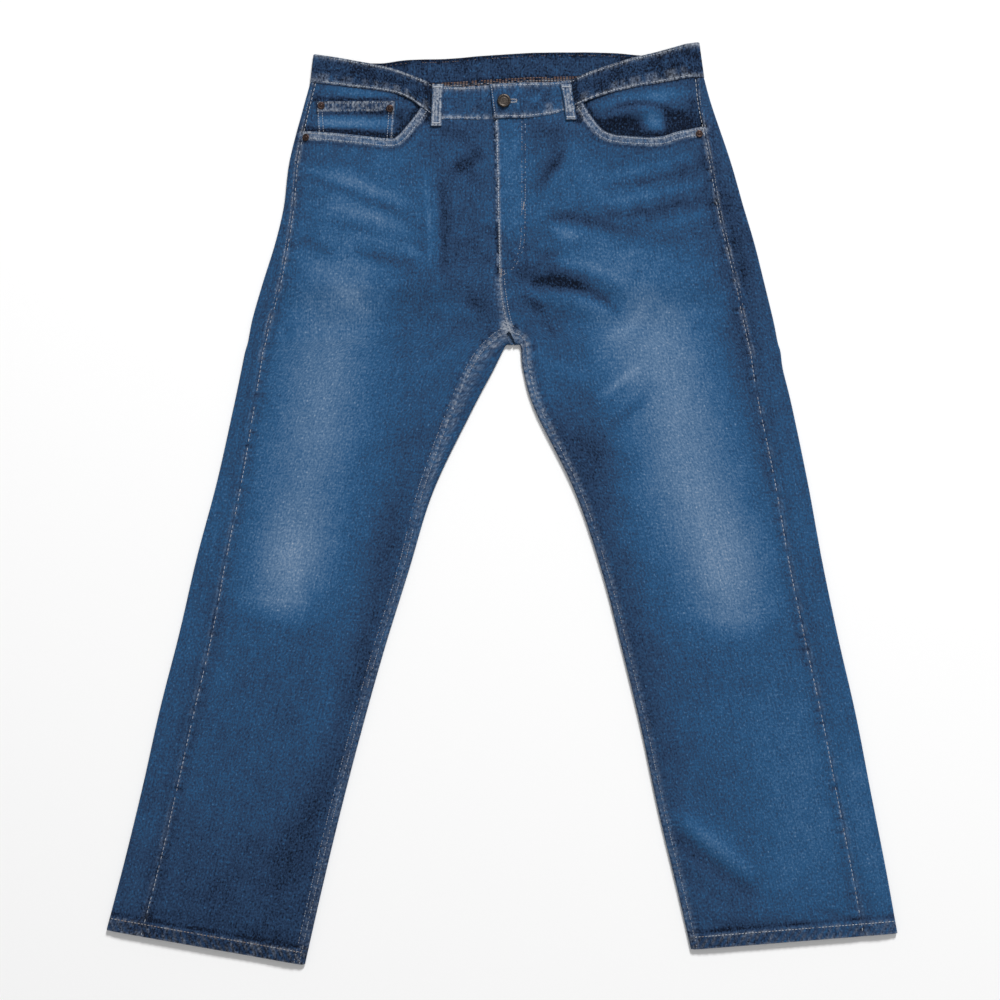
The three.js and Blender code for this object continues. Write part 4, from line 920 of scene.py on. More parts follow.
def woven(net, **values):
    """The twill on a piece's own cloth coordinates, with values for its sockets."""
    weave = net.add("ShaderNodeGroup", values, node_tree=TWILL)
    net.join(weave.inputs["Cloth"], net.add("ShaderNodeUVMap", uv_map="cloth").outputs["UV"])
    return weave.outputs


def fine_noise(net, scale, **more):
    """Fine noise on the piece itself, in its Object coordinates."""
    place = net.add("ShaderNodeTexCoord").outputs["Object"]
    return net.add("ShaderNodeTexNoise", {"Vector": place, "Scale": scale, **more}).outputs["Fac"]


def denim(name, contrast=0.075):
    """Worn denim: its colour from the tone on the mesh and the weave, a soft sheen of loose fibre."""
    material, net, shader = new_material(
        name, Roughness=0.9, Sheen_Weight=0.02, Sheen_Roughness=0.5, Specular_IOR_Level=0.08
    )
    weave = woven(net)
    shades = {key.capitalize(): net.attribute(key) for key in ("tone", "rub", "inside")}
    shades |= {"Mottle": weave["Mottle"], "Weft": weave["Weft"], "Contrast": contrast}
    colour = net.add("ShaderNodeGroup", node_tree=INDIGO_COLOUR)
    for key, value in shades.items():
        net.join(colour.inputs[key], value)
    net.join(shader.inputs["Base Color"], colour.outputs["Color"])
    weave_bump(net, shader, weave["Height"], 0.00012)
    return material


def plain_cloth(name, dark, light):
    """Cotton twill of the pockets and tapes, in one colour with a faint mottle."""
    material, net, shader = new_material(name, Roughness=0.9, Sheen_Weight=0.1, Specular_IOR_Level=0.2)
    weave = woven(net, Repeat=0.9)
    level = net.math("MULTIPLY_ADD", weave["Mottle"], 0.12, 0.5)
    net.join(shader.inputs["Base Color"], net.ramp(level, [(0.1, dark), (0.9, light)]))
    weave_bump(net, shader, weave["Height"], 0.00008)
    return material


# Sewing thread from worn white to rust, by its hue
THREAD = [
    (0.0, (0.46, 0.50, 0.56)),
    (0.35, (0.30, 0.31, 0.34)),
    (0.7, (0.22, 0.16, 0.14)),
    (1.0, (0.15, 0.085, 0.065)),
]


def thread(name):
    """Sewing thread: its colour from the hue on the mesh, and a twist that shows as fine bands."""
    material, net, shader = new_material(name, Roughness=0.7, Sheen_Weight=0.15, Specular_IOR_Level=0.3)
    worn = fine_noise(net, 420.0, Detail=2.0)
    at = net.math("MULTIPLY_ADD", net.math("SUBTRACT", worn, 0.5), 0.5, net.attribute("hue"))
    net.join(shader.inputs["Base Color"], net.ramp(at, THREAD))
    weave_bump(net, shader, fine_noise(net, 2600.0), 0.0001)
    return material


def aged_metal(name, dark, light):
    """Dulled brass or copper: darker in the hollows of a fine patina, and less glossy there."""
    material, net, shader = new_material(name, Metallic=0.9, Specular_IOR_Level=0.5)
    patina = fine_noise(net, 700.0, Detail=4.0, Roughness=0.65)
    net.join(shader.inputs["Base Color"], net.ramp(patina, [(0.35, dark), (0.7, light)]))
    net.join(shader.inputs["Roughness"], net.math("MULTIPLY_ADD", patina, -0.3, 0.62))
    weave_bump(net, shader, patina, 0.00006)
    return material


cloth_material = denim("denim_front")
back_material = denim("denim_back")
band_material = denim("denim_band", contrast=0.085)
lining_material = plain_cloth("pocket_lining", (0.48, 0.47, 0.43), (0.66, 0.64, 0.6))
tape_material = plain_cloth("zip_tape", (0.05, 0.06, 0.08), (0.09, 0.1, 0.13))
thread_material = thread("sewing_thread")
button_metal = aged_metal("button_metal", (0.03, 0.026, 0.024), (0.13, 0.11, 0.095))
rivet_metal = aged_metal("rivet_metal", (0.025, 0.018, 0.018), (0.105, 0.065, 0.055))


def back_tone(x, y):
    """Tone of the back, which the photo doesn't show: plain, with a soft fade on the seat and
    a fainter one down each leg."""
    total = 0.4 + 0.03 * ripple(x, y, 44, 111) + 0.03 * ripple(x, y, 15, 112)
    for side in (-1, 1):
        total += 0.2 * bell(x, side * 112, 70) * bell(y, 300, 90)
        total += 0.1 * bell(x, side * (230 - 0.2 * y), 60) * bell(y, -60, 190)
    return total


def values_at(grid, back=False):
    """Tone and rub of a piece. The wear and painted shade of the front's edges fade out on parts
    underneath, and a back panel goes over to the back's own plain tone where it turns under."""
    x, y = grid[..., 0], grid[..., 1]
    on_top = smooth((grid[..., 2] - 2) / 2)
    shade, rub = edge_wear_and_painted_shade(x, y)
    shown = tone(x, y) + shade * on_top
    if back:
        shown = mix(back_tone(x, y), shown, smooth((grid[..., 2] - 2.4) / 1.4))
    return {"tone": np.maximum(shown, 0), "rub": np.clip(rub * on_top, 0, 0.9)}


def beat_along(along, pitch, seed):
    """Uneven beat along a seam from 0 to 1, a pitch apart."""
    sway = 2.5 * ripple(along, 0 * along, 2.6 * pitch, seed)
    return 0.5 + 0.5 * np.sin(2 * math.pi * along / pitch + sway)


def leg_wear_and_painted_shade(leg, x, y):
    """Shade and rub of one leg's pocket mouth, seams and hem, with painted shadow on the facing
    side of the mouth and in the crease above the hem.
    """
    below = smooth((edge_at(leg.low_band, x) + 2 - y) / 6)
    away, across, along = field(leg.mouth_line, x, y)
    on_panel = across * leg.sign > 0
    speckle = 0.26 * beat_along(along, 5.5, 71) + 0.24 * ripple(along, away, 3.5, 70)
    pale = plateau(away, 9.8, 2) * (0.14 + speckle) + 0.26 * bell(away, 1.4, 1.5)
    # On the panel a dark line beyond the turned edge, partly painted shade at its step; off the panel a
    # painted shadow in the gap under the mouth.
    dark = np.where(on_panel, -0.16 * bell(away, 13, 2.4), -0.4 * bell(away, 0, 6))
    pale, dark = below * np.where(on_panel, pale, 0), below * dark

    away, across, along = field(leg.side_line, x, y)
    upper = 0.5 + 0.5 * smooth((y - 100) / 260)
    pale += upper * (0.12 + 0.16 * ripple(along, 0 * along, 9, 72)) * bell(away, 1.9, 1.5)
    dark += -0.14 * bell(away, 0, 1.3) - 0.07 * bell(away, 8, 6)
    dark += -0.3 * seam_notches(leg, along, away, across)

    away, _, along = field(leg.seam_line[(FORK - 1) * STEPS :], x, y)
    crotch = 0.3 + 0.7 * smooth((y + 40) / 220)
    speckle = 0.5 * beat_along(along, 7, 73) + 0.22 * ripple(along, away, 4, 76)
    pale += crotch * (0.06 + speckle) * bell(away, 3, 3.2)
    dark += -0.16 * bell(away, 10, 3.5) * beat_along(along, 14, 77) * crotch

    from_hem, _, at_hem = field(leg.hem_line, x, y)
    slant = hem_roping(at_hem, from_hem)
    inside = plateau(from_hem, HEM_DEPTH - 1, 1.5)
    pale += inside * (0.02 + 0.08 * slant + 0.12 * ripple(at_hem, from_hem, 4.5, 74))
    ridges = plateau(from_hem, 0.5, 2) + bell(from_hem, HEM_DEPTH - 1.8, 1.3)
    pale += (0.1 + 0.2 * ripple(at_hem, 0 * at_hem, 5, 79)) * ridges
    # painted shade in the crease above the hem
    crease = bell(from_hem, HEM_DEPTH + 4.2, 2.6)
    dark += inside * (-0.13 - 0.1 * slant)
    dark += -0.42 * crease * (0.7 + 0.3 * ripple(at_hem, 0 * at_hem, 24, 78))
    return dark, np.maximum(pale, 0)


def edge_wear_and_painted_shade(x, y):
    """Where turned edges and seams rub: along the pocket mouths, the seams, the fly and the
    hems, in the uneven beat of the puckers, with painted shade beside the pocket mouths, the
    fly's lapped edge, the hem creases and the front loops. Returns the dark shade of the
    hollows beside them, partly painted shade, and the pale rub of their ridges."""
    shade, rub = np.zeros(np.shape(x)), np.zeros(np.shape(x))
    for leg in LEGS.values():
        near = leg.sign * x > -24
        dark, pale = leg_wear_and_painted_shade(leg, x[near], y[near])
        shade[near] += dark
        rub[near] += pale
    away, across, along = field(LEGS["left"].seam_line[: FORK * STEPS + 1], x, y)
    near = (np.abs(x) < 60) & (y < 486)
    high = smooth((y - 280) / 8)
    on_left, on_right = near & (across > 0), near & (across <= 0)
    rub += np.where(on_left, (0.32 + 0.5 * beat_along(along, 6, 85)) * bell(away, 1.5, 1.8), 0)
    rub += np.where(on_right, 0.35 * (1 - high) * beat_along(along, 7, 87) * bell(away, 0, 4), 0)
    # painted shadow on the right front beside the fly's lapped edge
    shade += np.where(on_right, -0.34 * bell(away, 0, 3) * high, 0)
    shade += np.where(on_left, 0.07 * ripple(x, y, 9, 86) * plateau(away, 30, 4), 0)
    # painted shade along the step where the raised fly ends
    shade += np.where(on_left, -0.12 * bell(away, 35, 2) * high, 0)
    # painted shadow beside the outer side of each front loop, running onto the panel below the band
    for loop in FRONT_LOOPS.values():
        outer = loop[2] + np.sign(loop[2]) * (LOOP_WIDTH / 2 + 3)
        shade += -0.45 * bell(x, outer, 5) * smooth((y - 470) / 8)
    return shade, rub


def leg_panels(side, leg):
    """A leg's front panel, back panel and yoke. The yoke is the back's run above its seam."""
    plan, across, down = front_grid(leg)
    grid, node = on_front(plan), f"front_leg_{side}"
    values = values_at(grid)
    shell(f"front_panel_{side}", grid, WALL, (across, down), values, cloth_material, node)
    backs = [
        ("back_panel", "back_leg", back_rows(leg, even_parameters(leg.table, [0, 1], 330, 1.0), 14, 30), 0.2),
        ("yoke_panel", "yoke", back_rows(leg, np.linspace(0, 0.99, 14), 5, 60), 1.0),
    ]
    for name, start, (grid, across, down), reverse in backs:
        values, node = values_at(grid, back=True), f"{start}_{side}"
        uv = (across, down)
        shell(f"{name}_{side}", grid, WALL, uv, values, back_material, node, reverse=reverse)


for side, leg in LEGS.items():
    leg_panels(side, leg)


# Waistband
BAND_RISE = (BAND_WALL - WALL) / 2
BAND_FRONTS = [BAND_FRONT_RIGHT, BAND_FRONT_LEFT]
LAP_RISE = 0.9  # how far the lapped end of the band stands above the other layer


def band_line(table, share, per_row=14):
    """A line along the band, at a share of its depth below the upper edge."""
    fine = fine_through(table, per_row)
    return fine[:, 2:] + (fine[:, :2] - fine[:, 2:]) * share



BAND_EDGES = [
    (band_line(table, share, 6), pitch) for table in BAND_FRONTS for share, pitch in ((1, 11.0), (0, 7.5))
]


def band_ease(x, y):
    """The band's uneven fullness: roping along both edges and a soft unevenness between them,
    flat under the belt loops."""
    total = 0.22 * ripple(x, y, 15, 81) + 0.12 * ripple(x, y, 6, 82)
    for k, (line, pitch) in enumerate(BAND_EDGES):
        away, _, along = field(line, x, y)
        roping = beat_along(along + 0.5 * away, pitch, 83 + k) - 0.4
        total -= 0.4 * roping * bell(away, 3, 4)
    for loop in FRONT_LOOPS.values():
        total = total * (1 - plateau(x - loop[0], 8, 6))
    return total


def band_front(x, y):
    """Middle of the band's front run."""
    return front_level(x, y) + BAND_RISE + band_ease(x, y)


def band_over(x, y):
    """Middle of the lapped left end, which climbs over the right one."""
    return band_front(x, y) + LAP_RISE * smooth((OVERLAP_START - x) / (OVERLAP_START - OVERLAP_FULL))


def band_under(x, y):
    """Middle of the right end, which goes under the lap."""
    return band_front(x, y) - (BAND_WALL + SEAM_GAP - LAP_RISE) * smooth((x + 34) / 18)


def band_back(x, y):
    """Middle of the band's back run, on the floor."""
    return BAND_WALL / 2 + lift(x, y)


# Lines along the band by their share of its depth, close together near its edges
BAND_ROWS = np.concatenate(
    [[0, 0.02, 0.05, 0.09], np.linspace(0.14, 0.86, 17), [0.9, 0.94, 0.965, 0.985, 1]]
)
BAND_STEPS = {"right": 14, "back": 28, "left": 16}  # columns from each row of a table to the next
CORNER_STEPS = 11


def band_between(seam, top):
    """Plan of the band from its upper edge down to its lower edge."""
    return top[:, None] + (seam - top)[:, None] * BAND_ROWS[None, :, None]


def band_part(rows, per_row, level):
    """A run of the band: smooth between its table's rows, straight from upper to lower edge."""
    fine = fine_through(rows, per_row)
    plan = band_between(fine[:, :2], fine[:, 2:])
    return np.concatenate([plan, level(plan[..., 0], plan[..., 1])[..., None]], -1)


def band_corner(corner, sign, upwards):
    """The band's fold at a side: a half turn from the front layer to the back layer."""
    low, high = BAND_WALL / 2, EDGE_MID + BAND_RISE
    radius = (high - low) / 2
    angle = math.pi * np.linspace(*((1, 0) if upwards else (0, 1)), CORNER_STEPS)
    shift = sign * radius * (np.sin(angle) - 1)
    shift = np.stack([shift, 0 * shift], 1)
    plan = band_between(np.array(corner[:2]) + shift, np.array(corner[2:]) + shift)
    level = (high + low) / 2 + radius * np.cos(angle)
    return np.concatenate([plan, np.broadcast_to(level[:, None, None], plan.shape[:2] + (1,))], -1)


band_grid = np.concatenate([
    band_part(BAND_FRONT_RIGHT, BAND_STEPS["right"], band_under),
    band_corner(BAND_CORNERS["right"], -1, False),
    band_part(BAND_BACK, BAND_STEPS["back"], band_back),
    band_corner(BAND_CORNERS["left"], 1, True),
    band_part(BAND_FRONT_LEFT, BAND_STEPS["left"], band_over),
]).transpose(1, 0, 2)
band_run = length_along(band_grid[len(BAND_ROWS) // 2 - 1])[None] + 0 * band_grid[..., 0]
band_share = BAND_ROWS[:, None] + 0 * band_run
band_down = band_share * 40


def band_tone():
    """Tone of the band: dark at the sides and inside the back, with painted shadow where the back
    runs under the front at the sides and beside the front loops' outer sides, worn over the
    middle and along both edges of the front, and a deep line where the back's inner edge is bound."""
    share, run, x, y = band_share, band_run, band_grid[..., 0], band_grid[..., 1]
    front = np.zeros(run.shape[1], bool)
    on_right, on_left = (
        BAND_STEPS[side] * (len(table) - 1) + CORNER_STEPS // 2 + 1
        for side, table in zip(("right", "left"), BAND_FRONTS)
    )
    front[:on_right], front[-on_left:] = True, True
    middle = smooth((x + 90) / 20) * smooth((100 - x) / 20)
    worn = 0.1 + 0.23 * middle + 0.1 * ripple(x, y, 11, 91) + 0.09 * ripple(x, y, 5, 92)
    worn += 0.1 * bell(x, -225, 40)
    speckle = ripple(x, y, 3.5, 94)
    top = (0.16 + 0.44 * beat_along(run, 6.5, 93) + 0.3 * speckle) * bell(share, 0, 0.1)
    foot = (0.14 + 0.4 * beat_along(run, 9, 95) + 0.3 * speckle) * bell(share, 0.95, 0.07)
    foot += 0.3 * plateau(share - 0.8, 0.1, 0.1) * np.maximum(ripple(run, 2 * share, 5, 97), 0)
    rub = np.where(front[None], np.maximum(top, 0) + np.maximum(foot, 0), 0)
    inner = 0.2 + 0.06 * ripple(x, y, 16, 98) + 0.06 * ripple(x, y, 6, 99) - 0.22 * (1 - smooth(share / 0.25))
    inner += -0.2 * smooth((share - 0.7) / 0.06)
    # painted shadow where the back run lies under the front band at the sides
    under_front = 1 - smooth((x + 160) / 40) * smooth((172 - x) / 40)
    shown = np.where(front[None], worn, inner - 0.24 * under_front)
    rub = rub + np.where(front[None], 0, 0.12 * smooth((share - 0.8) / 0.05) * (0.3 + speckle))
    # painted shadow beside the outer side of each front loop, which also takes away the rub there
    for loop in FRONT_LOOPS.values():
        outer = loop[0] + np.sign(loop[0]) * (LOOP_WIDTH / 2 + 3.2)
        gap = bell(x, outer, 5)
        shown = shown - np.where(front[None], 0.5 * gap, 0)
        rub = rub * (1 - np.where(front[None], gap, 0))
    return {"tone": np.maximum(shown, 0), "rub": np.clip(rub, 0, 0.9)}


uv, values = (band_run, band_down), band_tone()
shell("waistband_cloth", band_grid, BAND_WALL, uv, values, band_material, "waistband", reverse=0)


# Pocket facings, coin pocket and bags
# The left pocket stands open: a soft roll of the facing between two deep hollows, with a
# crease arched over it; painted shade darkens the hollows and a painted highlight lies on the
# roll. The right one is closed, with painted shadow along its mouth.
ROLL = dict(x=184, y=477, radius_x=17, radius_y=12, rise=1.7)
ARCH_CREASE = (126, 486, 176, 516, 214, 486, 4.0, -0.9)
POCKET_TONE_AND_PAINTED_LIGHT = {
    "right": [
        # right: painted shadow in the gap above the mouth and above the coin pocket's hem, painted shade at
        # the mouth's inner end, then paler patches
        (-190, 461, 58, 5.5, -3, -0.6),
        (-183, 504.8, 54, 2.4, 0, -0.5),
        (-126, 474, 9, 26, 0, -0.2),
        (-182, 516, 58, 8, -8, 0.24),
        (-212, 474, 26, 8, 0, 0.08),
    ],
    "left": [
        # left: painted shade in the two hollows, a painted highlight on the roll, a paler strip under the
        # band and painted shadow along the mouth
        (144, 471, 27, 9.5, 4, -0.9),
        (221, 476, 16, 12, -20, -0.85),
        (190, 478, 15, 11, -30, 0.42),
        (190, 508, 54, 9, 10, 0.26),
        (184, 459, 46, 5, 0, -0.5),
    ],
}


def facing_level(side, x, y):
    """A facing dips from the waist seam to the pocket bag, and under the panel at its inner end."""
    facing = FACINGS[side]
    below = edge_at(LEGS[side].low_band, x) - y
    dip = smooth((below - facing["tuck"]) / (facing["reach"] - facing["tuck"]))
    under = smooth((facing["clear_x"] - np.abs(x)) / (facing["clear_x"] - facing["under_x"]))
    level = mix(front_level(x, y), back_level(x, y) + FACING_LEVEL, np.maximum(dip, under))
    if side == "left":
        roll_x, roll_y = (x - ROLL["x"]) / ROLL["radius_x"], (y - ROLL["y"]) / ROLL["radius_y"]
        level = level + ROLL["rise"] * np.exp(-(roll_x**2) - roll_y**2) + fold_height([ARCH_CREASE], x, y)
    return level


def facing_values(side, x, y):
    """Tone of a facing: as the front's, with the painted shadow and highlight of its pocket,
    painted shade in the arched crease and painted shade under the band's edge.
    """
    shade, _ = edge_wear_and_painted_shade(x, y)
    total = add_patches(tone(x, y) + shade - 0.03, POCKET_TONE_AND_PAINTED_LIGHT[side], x, y)
    if side == "left":
        # painted shade in the arched crease
        total = total + 0.36 * fold_height([ARCH_CREASE], x, y)
    # painted shade just under the band's lower edge
    total -= 0.24 * bell(edge_at(LEGS[side].low_band, x) - y, 0, 2.5)
    return {"tone": np.maximum(total, 0)}


def facing_grid(side, lines=40, columns=60):
    """A facing between the side seam, the waist seam, its inner edge and its straight foot."""
    facing, leg = FACINGS[side], LEGS[side]
    down, over = np.linspace(0, 1, lines + 1)[:, None], np.linspace(0, 1, columns + 1)[None]
    waist_x = mix(leg.side_line[0, 0], facing["inner_x"], over)
    y = mix(edge_at(leg.low_band, waist_x) - SEAM_GAP, facing["bottom_y"], down)
    side_x = np.interp(-y, -leg.side_line[:, 1], leg.side_line[:, 0])
    x = mix(side_x - leg.sign * 0.8, facing["inner_x"], over)
    y = np.minimum(y, edge_at(leg.low_band, x) - SEAM_GAP)
    return np.stack([x, y, facing_level(side, x, y)], -1)


def flat_uv(grid):
    """Cloth coordinates of a piece that lies flat: its own plan."""
    return grid[..., 0], grid[..., 1]


for side in LEGS:
    grid, node = facing_grid(side), f"pocket_facing_{side}"
    values = facing_values(side, *flat_uv(grid))
    shell(f"facing_{side}", grid, LINING_WALL, flat_uv(grid), values, cloth_material, node)


def coin_level(x, y):
    """Middle of the coin pocket, on the right facing."""
    return facing_level("right", x, y) + LAYER


def coin_pocket():
    """The coin pocket: its worn double hem above, ribbed by the stitching, and a plain body, with
    painted shade just under the hem's edge and a painted highlight across the body.
    """
    i, j = np.linspace(0, 1, 49)[:, None], np.linspace(0, 1, 73)[None]
    narrow = COIN_POCKET["taper"] * i
    x = mix(COIN_POCKET["left"] + narrow, COIN_POCKET["right"] - narrow, j)
    y = mix(COIN_POCKET["top"], COIN_POCKET["bottom"], i) + 0 * j
    down = COIN_POCKET["top"] - y
    from_left, from_right = x - COIN_POCKET["left"], COIN_POCKET["right"] - x
    beat = beat_along(x, 5.5, 66) - 0.5
    hem = plateau(down, 11.5, 1.5)
    level = coin_level(x, y) + hem * (0.3 + 0.2 * beat) + 0.15 * ripple(x, y, 12, 64)
    worn = facing_values("right", x, y)["tone"] - 0.05 - 0.12 * hem
    # painted shade just under the hem's edge, and a painted highlight band across the body
    worn += -0.26 * bell(down, 14.5, 2.5) + 0.32 * bell(down, 26, 7)
    rub = hem * (0.2 + 0.3 * beat + 0.34 * ripple(x, y, 3.5, 65)) + 0.15 * bell(down, 0, 1.6)
    rub += 0.45 * bell(from_right, 2.5, 2.2) * beat_along(y, 5, 67)
    rub += 0.16 * bell(from_left, 2, 2) * beat_along(y, 6, 68)
    grid = np.stack([x, y, level], -1)
    values = {"tone": np.maximum(worn, 0), "rub": np.clip(rub, 0, 0.9)}
    shell("coin_pocket_cloth", grid, LINING_WALL, (x, y), values, cloth_material, "coin_pocket")

coin_pocket()


def bag_grid(side, lines=40, columns=30):
    """A pocket bag: one piece of lining, folded at its inner edge, rounded at its foot."""
    bag = BAGS[side]
    t = np.linspace(0, 1, lines + 1)[:, None]
    rounded = 1 - np.sqrt(np.maximum(1 - np.maximum(t - 0.8, 0) ** 2 / 0.05, 0.3))
    inner, outer = bag["inner_x"] + 26 * rounded, bag["outer_x"] - 30 * rounded
    share = np.linspace(0, 1, columns + 1)[None]

    def layer(a, level):
        start = bag["top_y"] + bag["climb"] * smooth((140 - a) / 44)
        y = mix(start, bag["bottom_y"], t)
        x = bag["sign"] * a
        return np.stack([x, y, level(x, y)], -1)

    def under_front(x, y):
        return front_level(x, y) - WALL / 2 - SEAM_GAP - LAYER_EASE - LINING_WALL / 2

    low = layer(mix(outer, inner, share), lambda x, y: back_level(x, y) + BAG_LEVEL)
    high = layer(mix(outer, inner, share[:, ::-1]), under_front)
    foot, head = low[:, -1:], high[:, :1]
    angle = np.linspace(0, math.pi, 7)[None, 1:-1]
    radius = (head[..., 2] - foot[..., 2]) / 2
    bend = np.stack([
        foot[..., 0] - bag["sign"] * radius * np.sin(angle),
        foot[..., 1] + 0 * angle,
        (head[..., 2] + foot[..., 2]) / 2 - radius * np.cos(angle),
    ], -1)
    return np.concatenate([low, bend, high[:, :-1]], axis=1)


for side in LEGS:
    grid, node = bag_grid(side), f"pocket_bag_{side}"
    uv, values = flat_uv(grid), values_at(grid)
    shell(f"bag_{side}", grid, LINING_WALL, uv, values, lining_material, node, reverse=0)


def on_back_pocket(pocket, across, down):
    """Plan of places on a back pocket, by how far they are from its middle and below its top."""
    c, s = math.cos(math.radians(pocket["tilt"])), math.sin(math.radians(pocket["tilt"]))
    return pocket["x"] + across * c + down * s, BACK_POCKET["top_y"] + across * s - down * c


def back_pocket(side, pocket):
    """A patch pocket with a pointed foot, worn paler along its hem and edges."""
    i, j = np.linspace(0, 1, 49)[:, None], np.linspace(-1, 1, 49)[None]
    depth = mix(BACK_POCKET["side"], BACK_POCKET["tip"], 1 - np.abs(j)) * i
    px = j * (BACK_POCKET["half"] - BACK_POCKET["taper"] * depth / BACK_POCKET["side"])
    x, y = on_back_pocket(pocket, px, depth)
    grid = np.stack([x, y, WALL / 2 + 0 * x], -1)
    worn = 0.46 + 0.07 * ripple(px, depth, 22, 101) + 0.04 * ripple(px, depth, 6, 102)
    worn = worn + 0.16 * bell(px, 0, 50) * bell(depth, 70, 50) - 0.1 * bell(depth, 17, 3)
    rub = 0.3 * plateau(1 - np.abs(j), 0.03, 0.07)
    rub = rub + 0.3 * plateau(depth, 1.5, 3) * (0.6 + 0.4 * ripple(px, depth, 4, 103))
    uv, values = (px + 0 * depth, depth), {"tone": worn, "rub": np.clip(rub, 0, 0.9)}
    name, node = f"back_pocket_cloth_{side}", f"back_pocket_{side}"
    shell(name, grid, WALL, uv, values, back_material, node, face=-1)


for side, pocket in BACK_POCKETS.items():
    back_pocket(side, pocket)


# Belt loops
def loop_ribs(k):
    """The soft ribs across a loop, from -1 to 1, over the cloth that is turned in along it."""
    return np.cos(2 * math.pi * k * 1.5)


def loop_grid(loop, level, flare=0.0, ribs=0.0):
    """A belt loop: a strip from its top to its foot, a little wider where it is tacked."""
    t, k = np.linspace(0, 1, 49)[:, None], np.linspace(-1, 1, 25)[None]
    sway = flare * 5 * ripple(14 * t, 0 * t + loop[0], 5, 55)
    width = LOOP_WIDTH / 2 * (1 + flare * (bell(t, 0, 0.2) + 0.8 * bell(t, 1, 0.16)))
    x = mix(loop[0], loop[2], t) + k * width + sway
    y = mix(loop[1], loop[3], t) + 0 * k
    return np.stack([x, y, level(x, y, t) - 0.2 * k**4 + ribs * loop_ribs(k)], -1)


def over_band(x, y, t):
    """Middle of a front loop: over the highest cloth under it, bowed up between its tacks."""
    middle = x[:, x.shape[1] // 2][:, None]
    highest = np.maximum.reduce([front_level(middle + k, y[:, :1]) for k in (-6, 0, 6)])
    on_band = BAND_WALL - WALL / 2 + SEAM_GAP + LOOP_WALL / 2
    return highest + on_band + 0.15 + 0.8 * np.sin(math.pi * t)


def loop_values(grid):
    """A loop is worn nearly white down its ribs, and darker between them."""
    k = np.linspace(-1, 1, grid.shape[1])[None]
    x, y = grid[..., 0], grid[..., 1]
    worn = 0.36 * ripple(x, y, 4.5, 91) + 0.2 * ripple(x, y, 2.2, 92)
    rub = 0.3 + 0.34 * (0.5 + 0.5 * loop_ribs(k)) + worn - 0.3 * k**6
    return {"tone": 0.36 + 0 * rub, "rub": np.clip(rub, 0, 0.95)}


front_loop_grids = {side: loop_grid(loop, over_band, 0.14, 0.16) for side, loop in FRONT_LOOPS.items()}
for side, grid in front_loop_grids.items():
    uv, values, node = flat_uv(grid), loop_values(grid), f"belt_loop_front_{side}"
    shell(f"loop_front_{side}", grid, LOOP_WALL, uv, values, band_material, node)
for side, loop in BACK_LOOPS.items():
    grid = loop_grid(loop, lambda x, y, t: LOOP_WALL / 2 + 0.15 + 0 * x)
    uv, values, node = flat_uv(grid), loop_values(grid), f"belt_loop_back_{side}"
    shell(f"loop_back_{side}", grid, LOOP_WALL - 0.2, uv, values, back_material, node, face=-1)


# Sewing
def stitches(path, pitch=3.1, length=2.3, radius=0.36, facing=1, hue=0.0, missing=0.05, seed=1):
    """A row of stitches along a path of points: each a short round thread of five sides that
    dips into the cloth at both ends. facing is 1 for cloth seen from above. Returns points,
    four-sided faces, end faces and hues."""
    run = length_along(path)
    rng = np.random.default_rng(seed)
    count = max(int(run[-1] / pitch), 1)
    centre = (np.arange(count) + 0.5) * run[-1] / count + rng.uniform(-0.12, 0.12, count)
    centre = centre[rng.random(count) > missing]
    count = len(centre)
    at = centre[:, None] + np.array([-0.5, -0.28, 0.28, 0.5])[None] * length
    place = lambda s: np.stack([np.interp(s, run, path[:, axis]) for axis in range(3)], -1)
    spine, way = place(at), place(at + 0.3) - place(at - 0.3)
    way /= np.linalg.norm(way, axis=-1, keepdims=True) + 1e-9
    above = np.array([0, 0, float(facing)])
    side = np.cross(above, way)
    side /= np.linalg.norm(side, axis=-1, keepdims=True) + 1e-9
    thick = radius * np.array([0.4, 1, 1, 0.4])[None, :, None, None]
    sink = radius * np.array([-0.7, 0.3, 0.3, -0.7])[None, :, None]
    turn = np.arange(5) * 2 * math.pi / 5
    ring = side[:, :, None] * np.cos(turn)[:, None] + above * np.sin(turn)[:, None]
    points = (spine + above * sink)[:, :, None] + ring * thick
    index = np.arange(count * 20).reshape(count, 4, 5)
    after = np.roll(index, -1, axis=2)
    quads = np.stack([index[:, :-1], after[:, :-1], after[:, 1:], index[:, 1:]], -1).reshape(-1, 4)
    caps = np.concatenate([index[:, 0, ::-1], index[:, 3]])
    hues = np.repeat(np.clip(hue + rng.normal(0, 0.12, count), -0.1, 1.1), 20)
    return points.reshape(-1, 3), quads, caps, hues


def thread_piece(name, rows):
    """One piece of many rows of stitches."""
    points, quads, caps, hues = zip(*rows)
    start = np.cumsum([0, *(len(row) for row in points[:-1])])
    faces = np.vstack([row + first for row, first in zip(quads, start)]).tolist()
    faces += np.vstack([row + first for row, first in zip(caps, start)]).tolist()
    return mesh_piece(name, np.vstack(points), faces, {"hue": np.concatenate(hues)}, thread_material)


def beside(line, reach, count=None):
    """A line moved sideways by reach, to the left of its own direction."""
    line = evenly(line, count or max(int(length_along(line)[-1] / 4), 4))
    way = np.gradient(line, axis=0)
    way /= np.linalg.norm(way, axis=1, keepdims=True)
    return line + reach * np.stack([-way[:, 1], way[:, 0]], 1)


def laid_on(line, level, rise, step=1.6):
    """A plan line laid on a surface, rise above its middle."""
    line = evenly(line, max(int(length_along(line)[-1] / step), 3))
    return np.column_stack([line, level(line[:, 0], line[:, 1]) + rise])


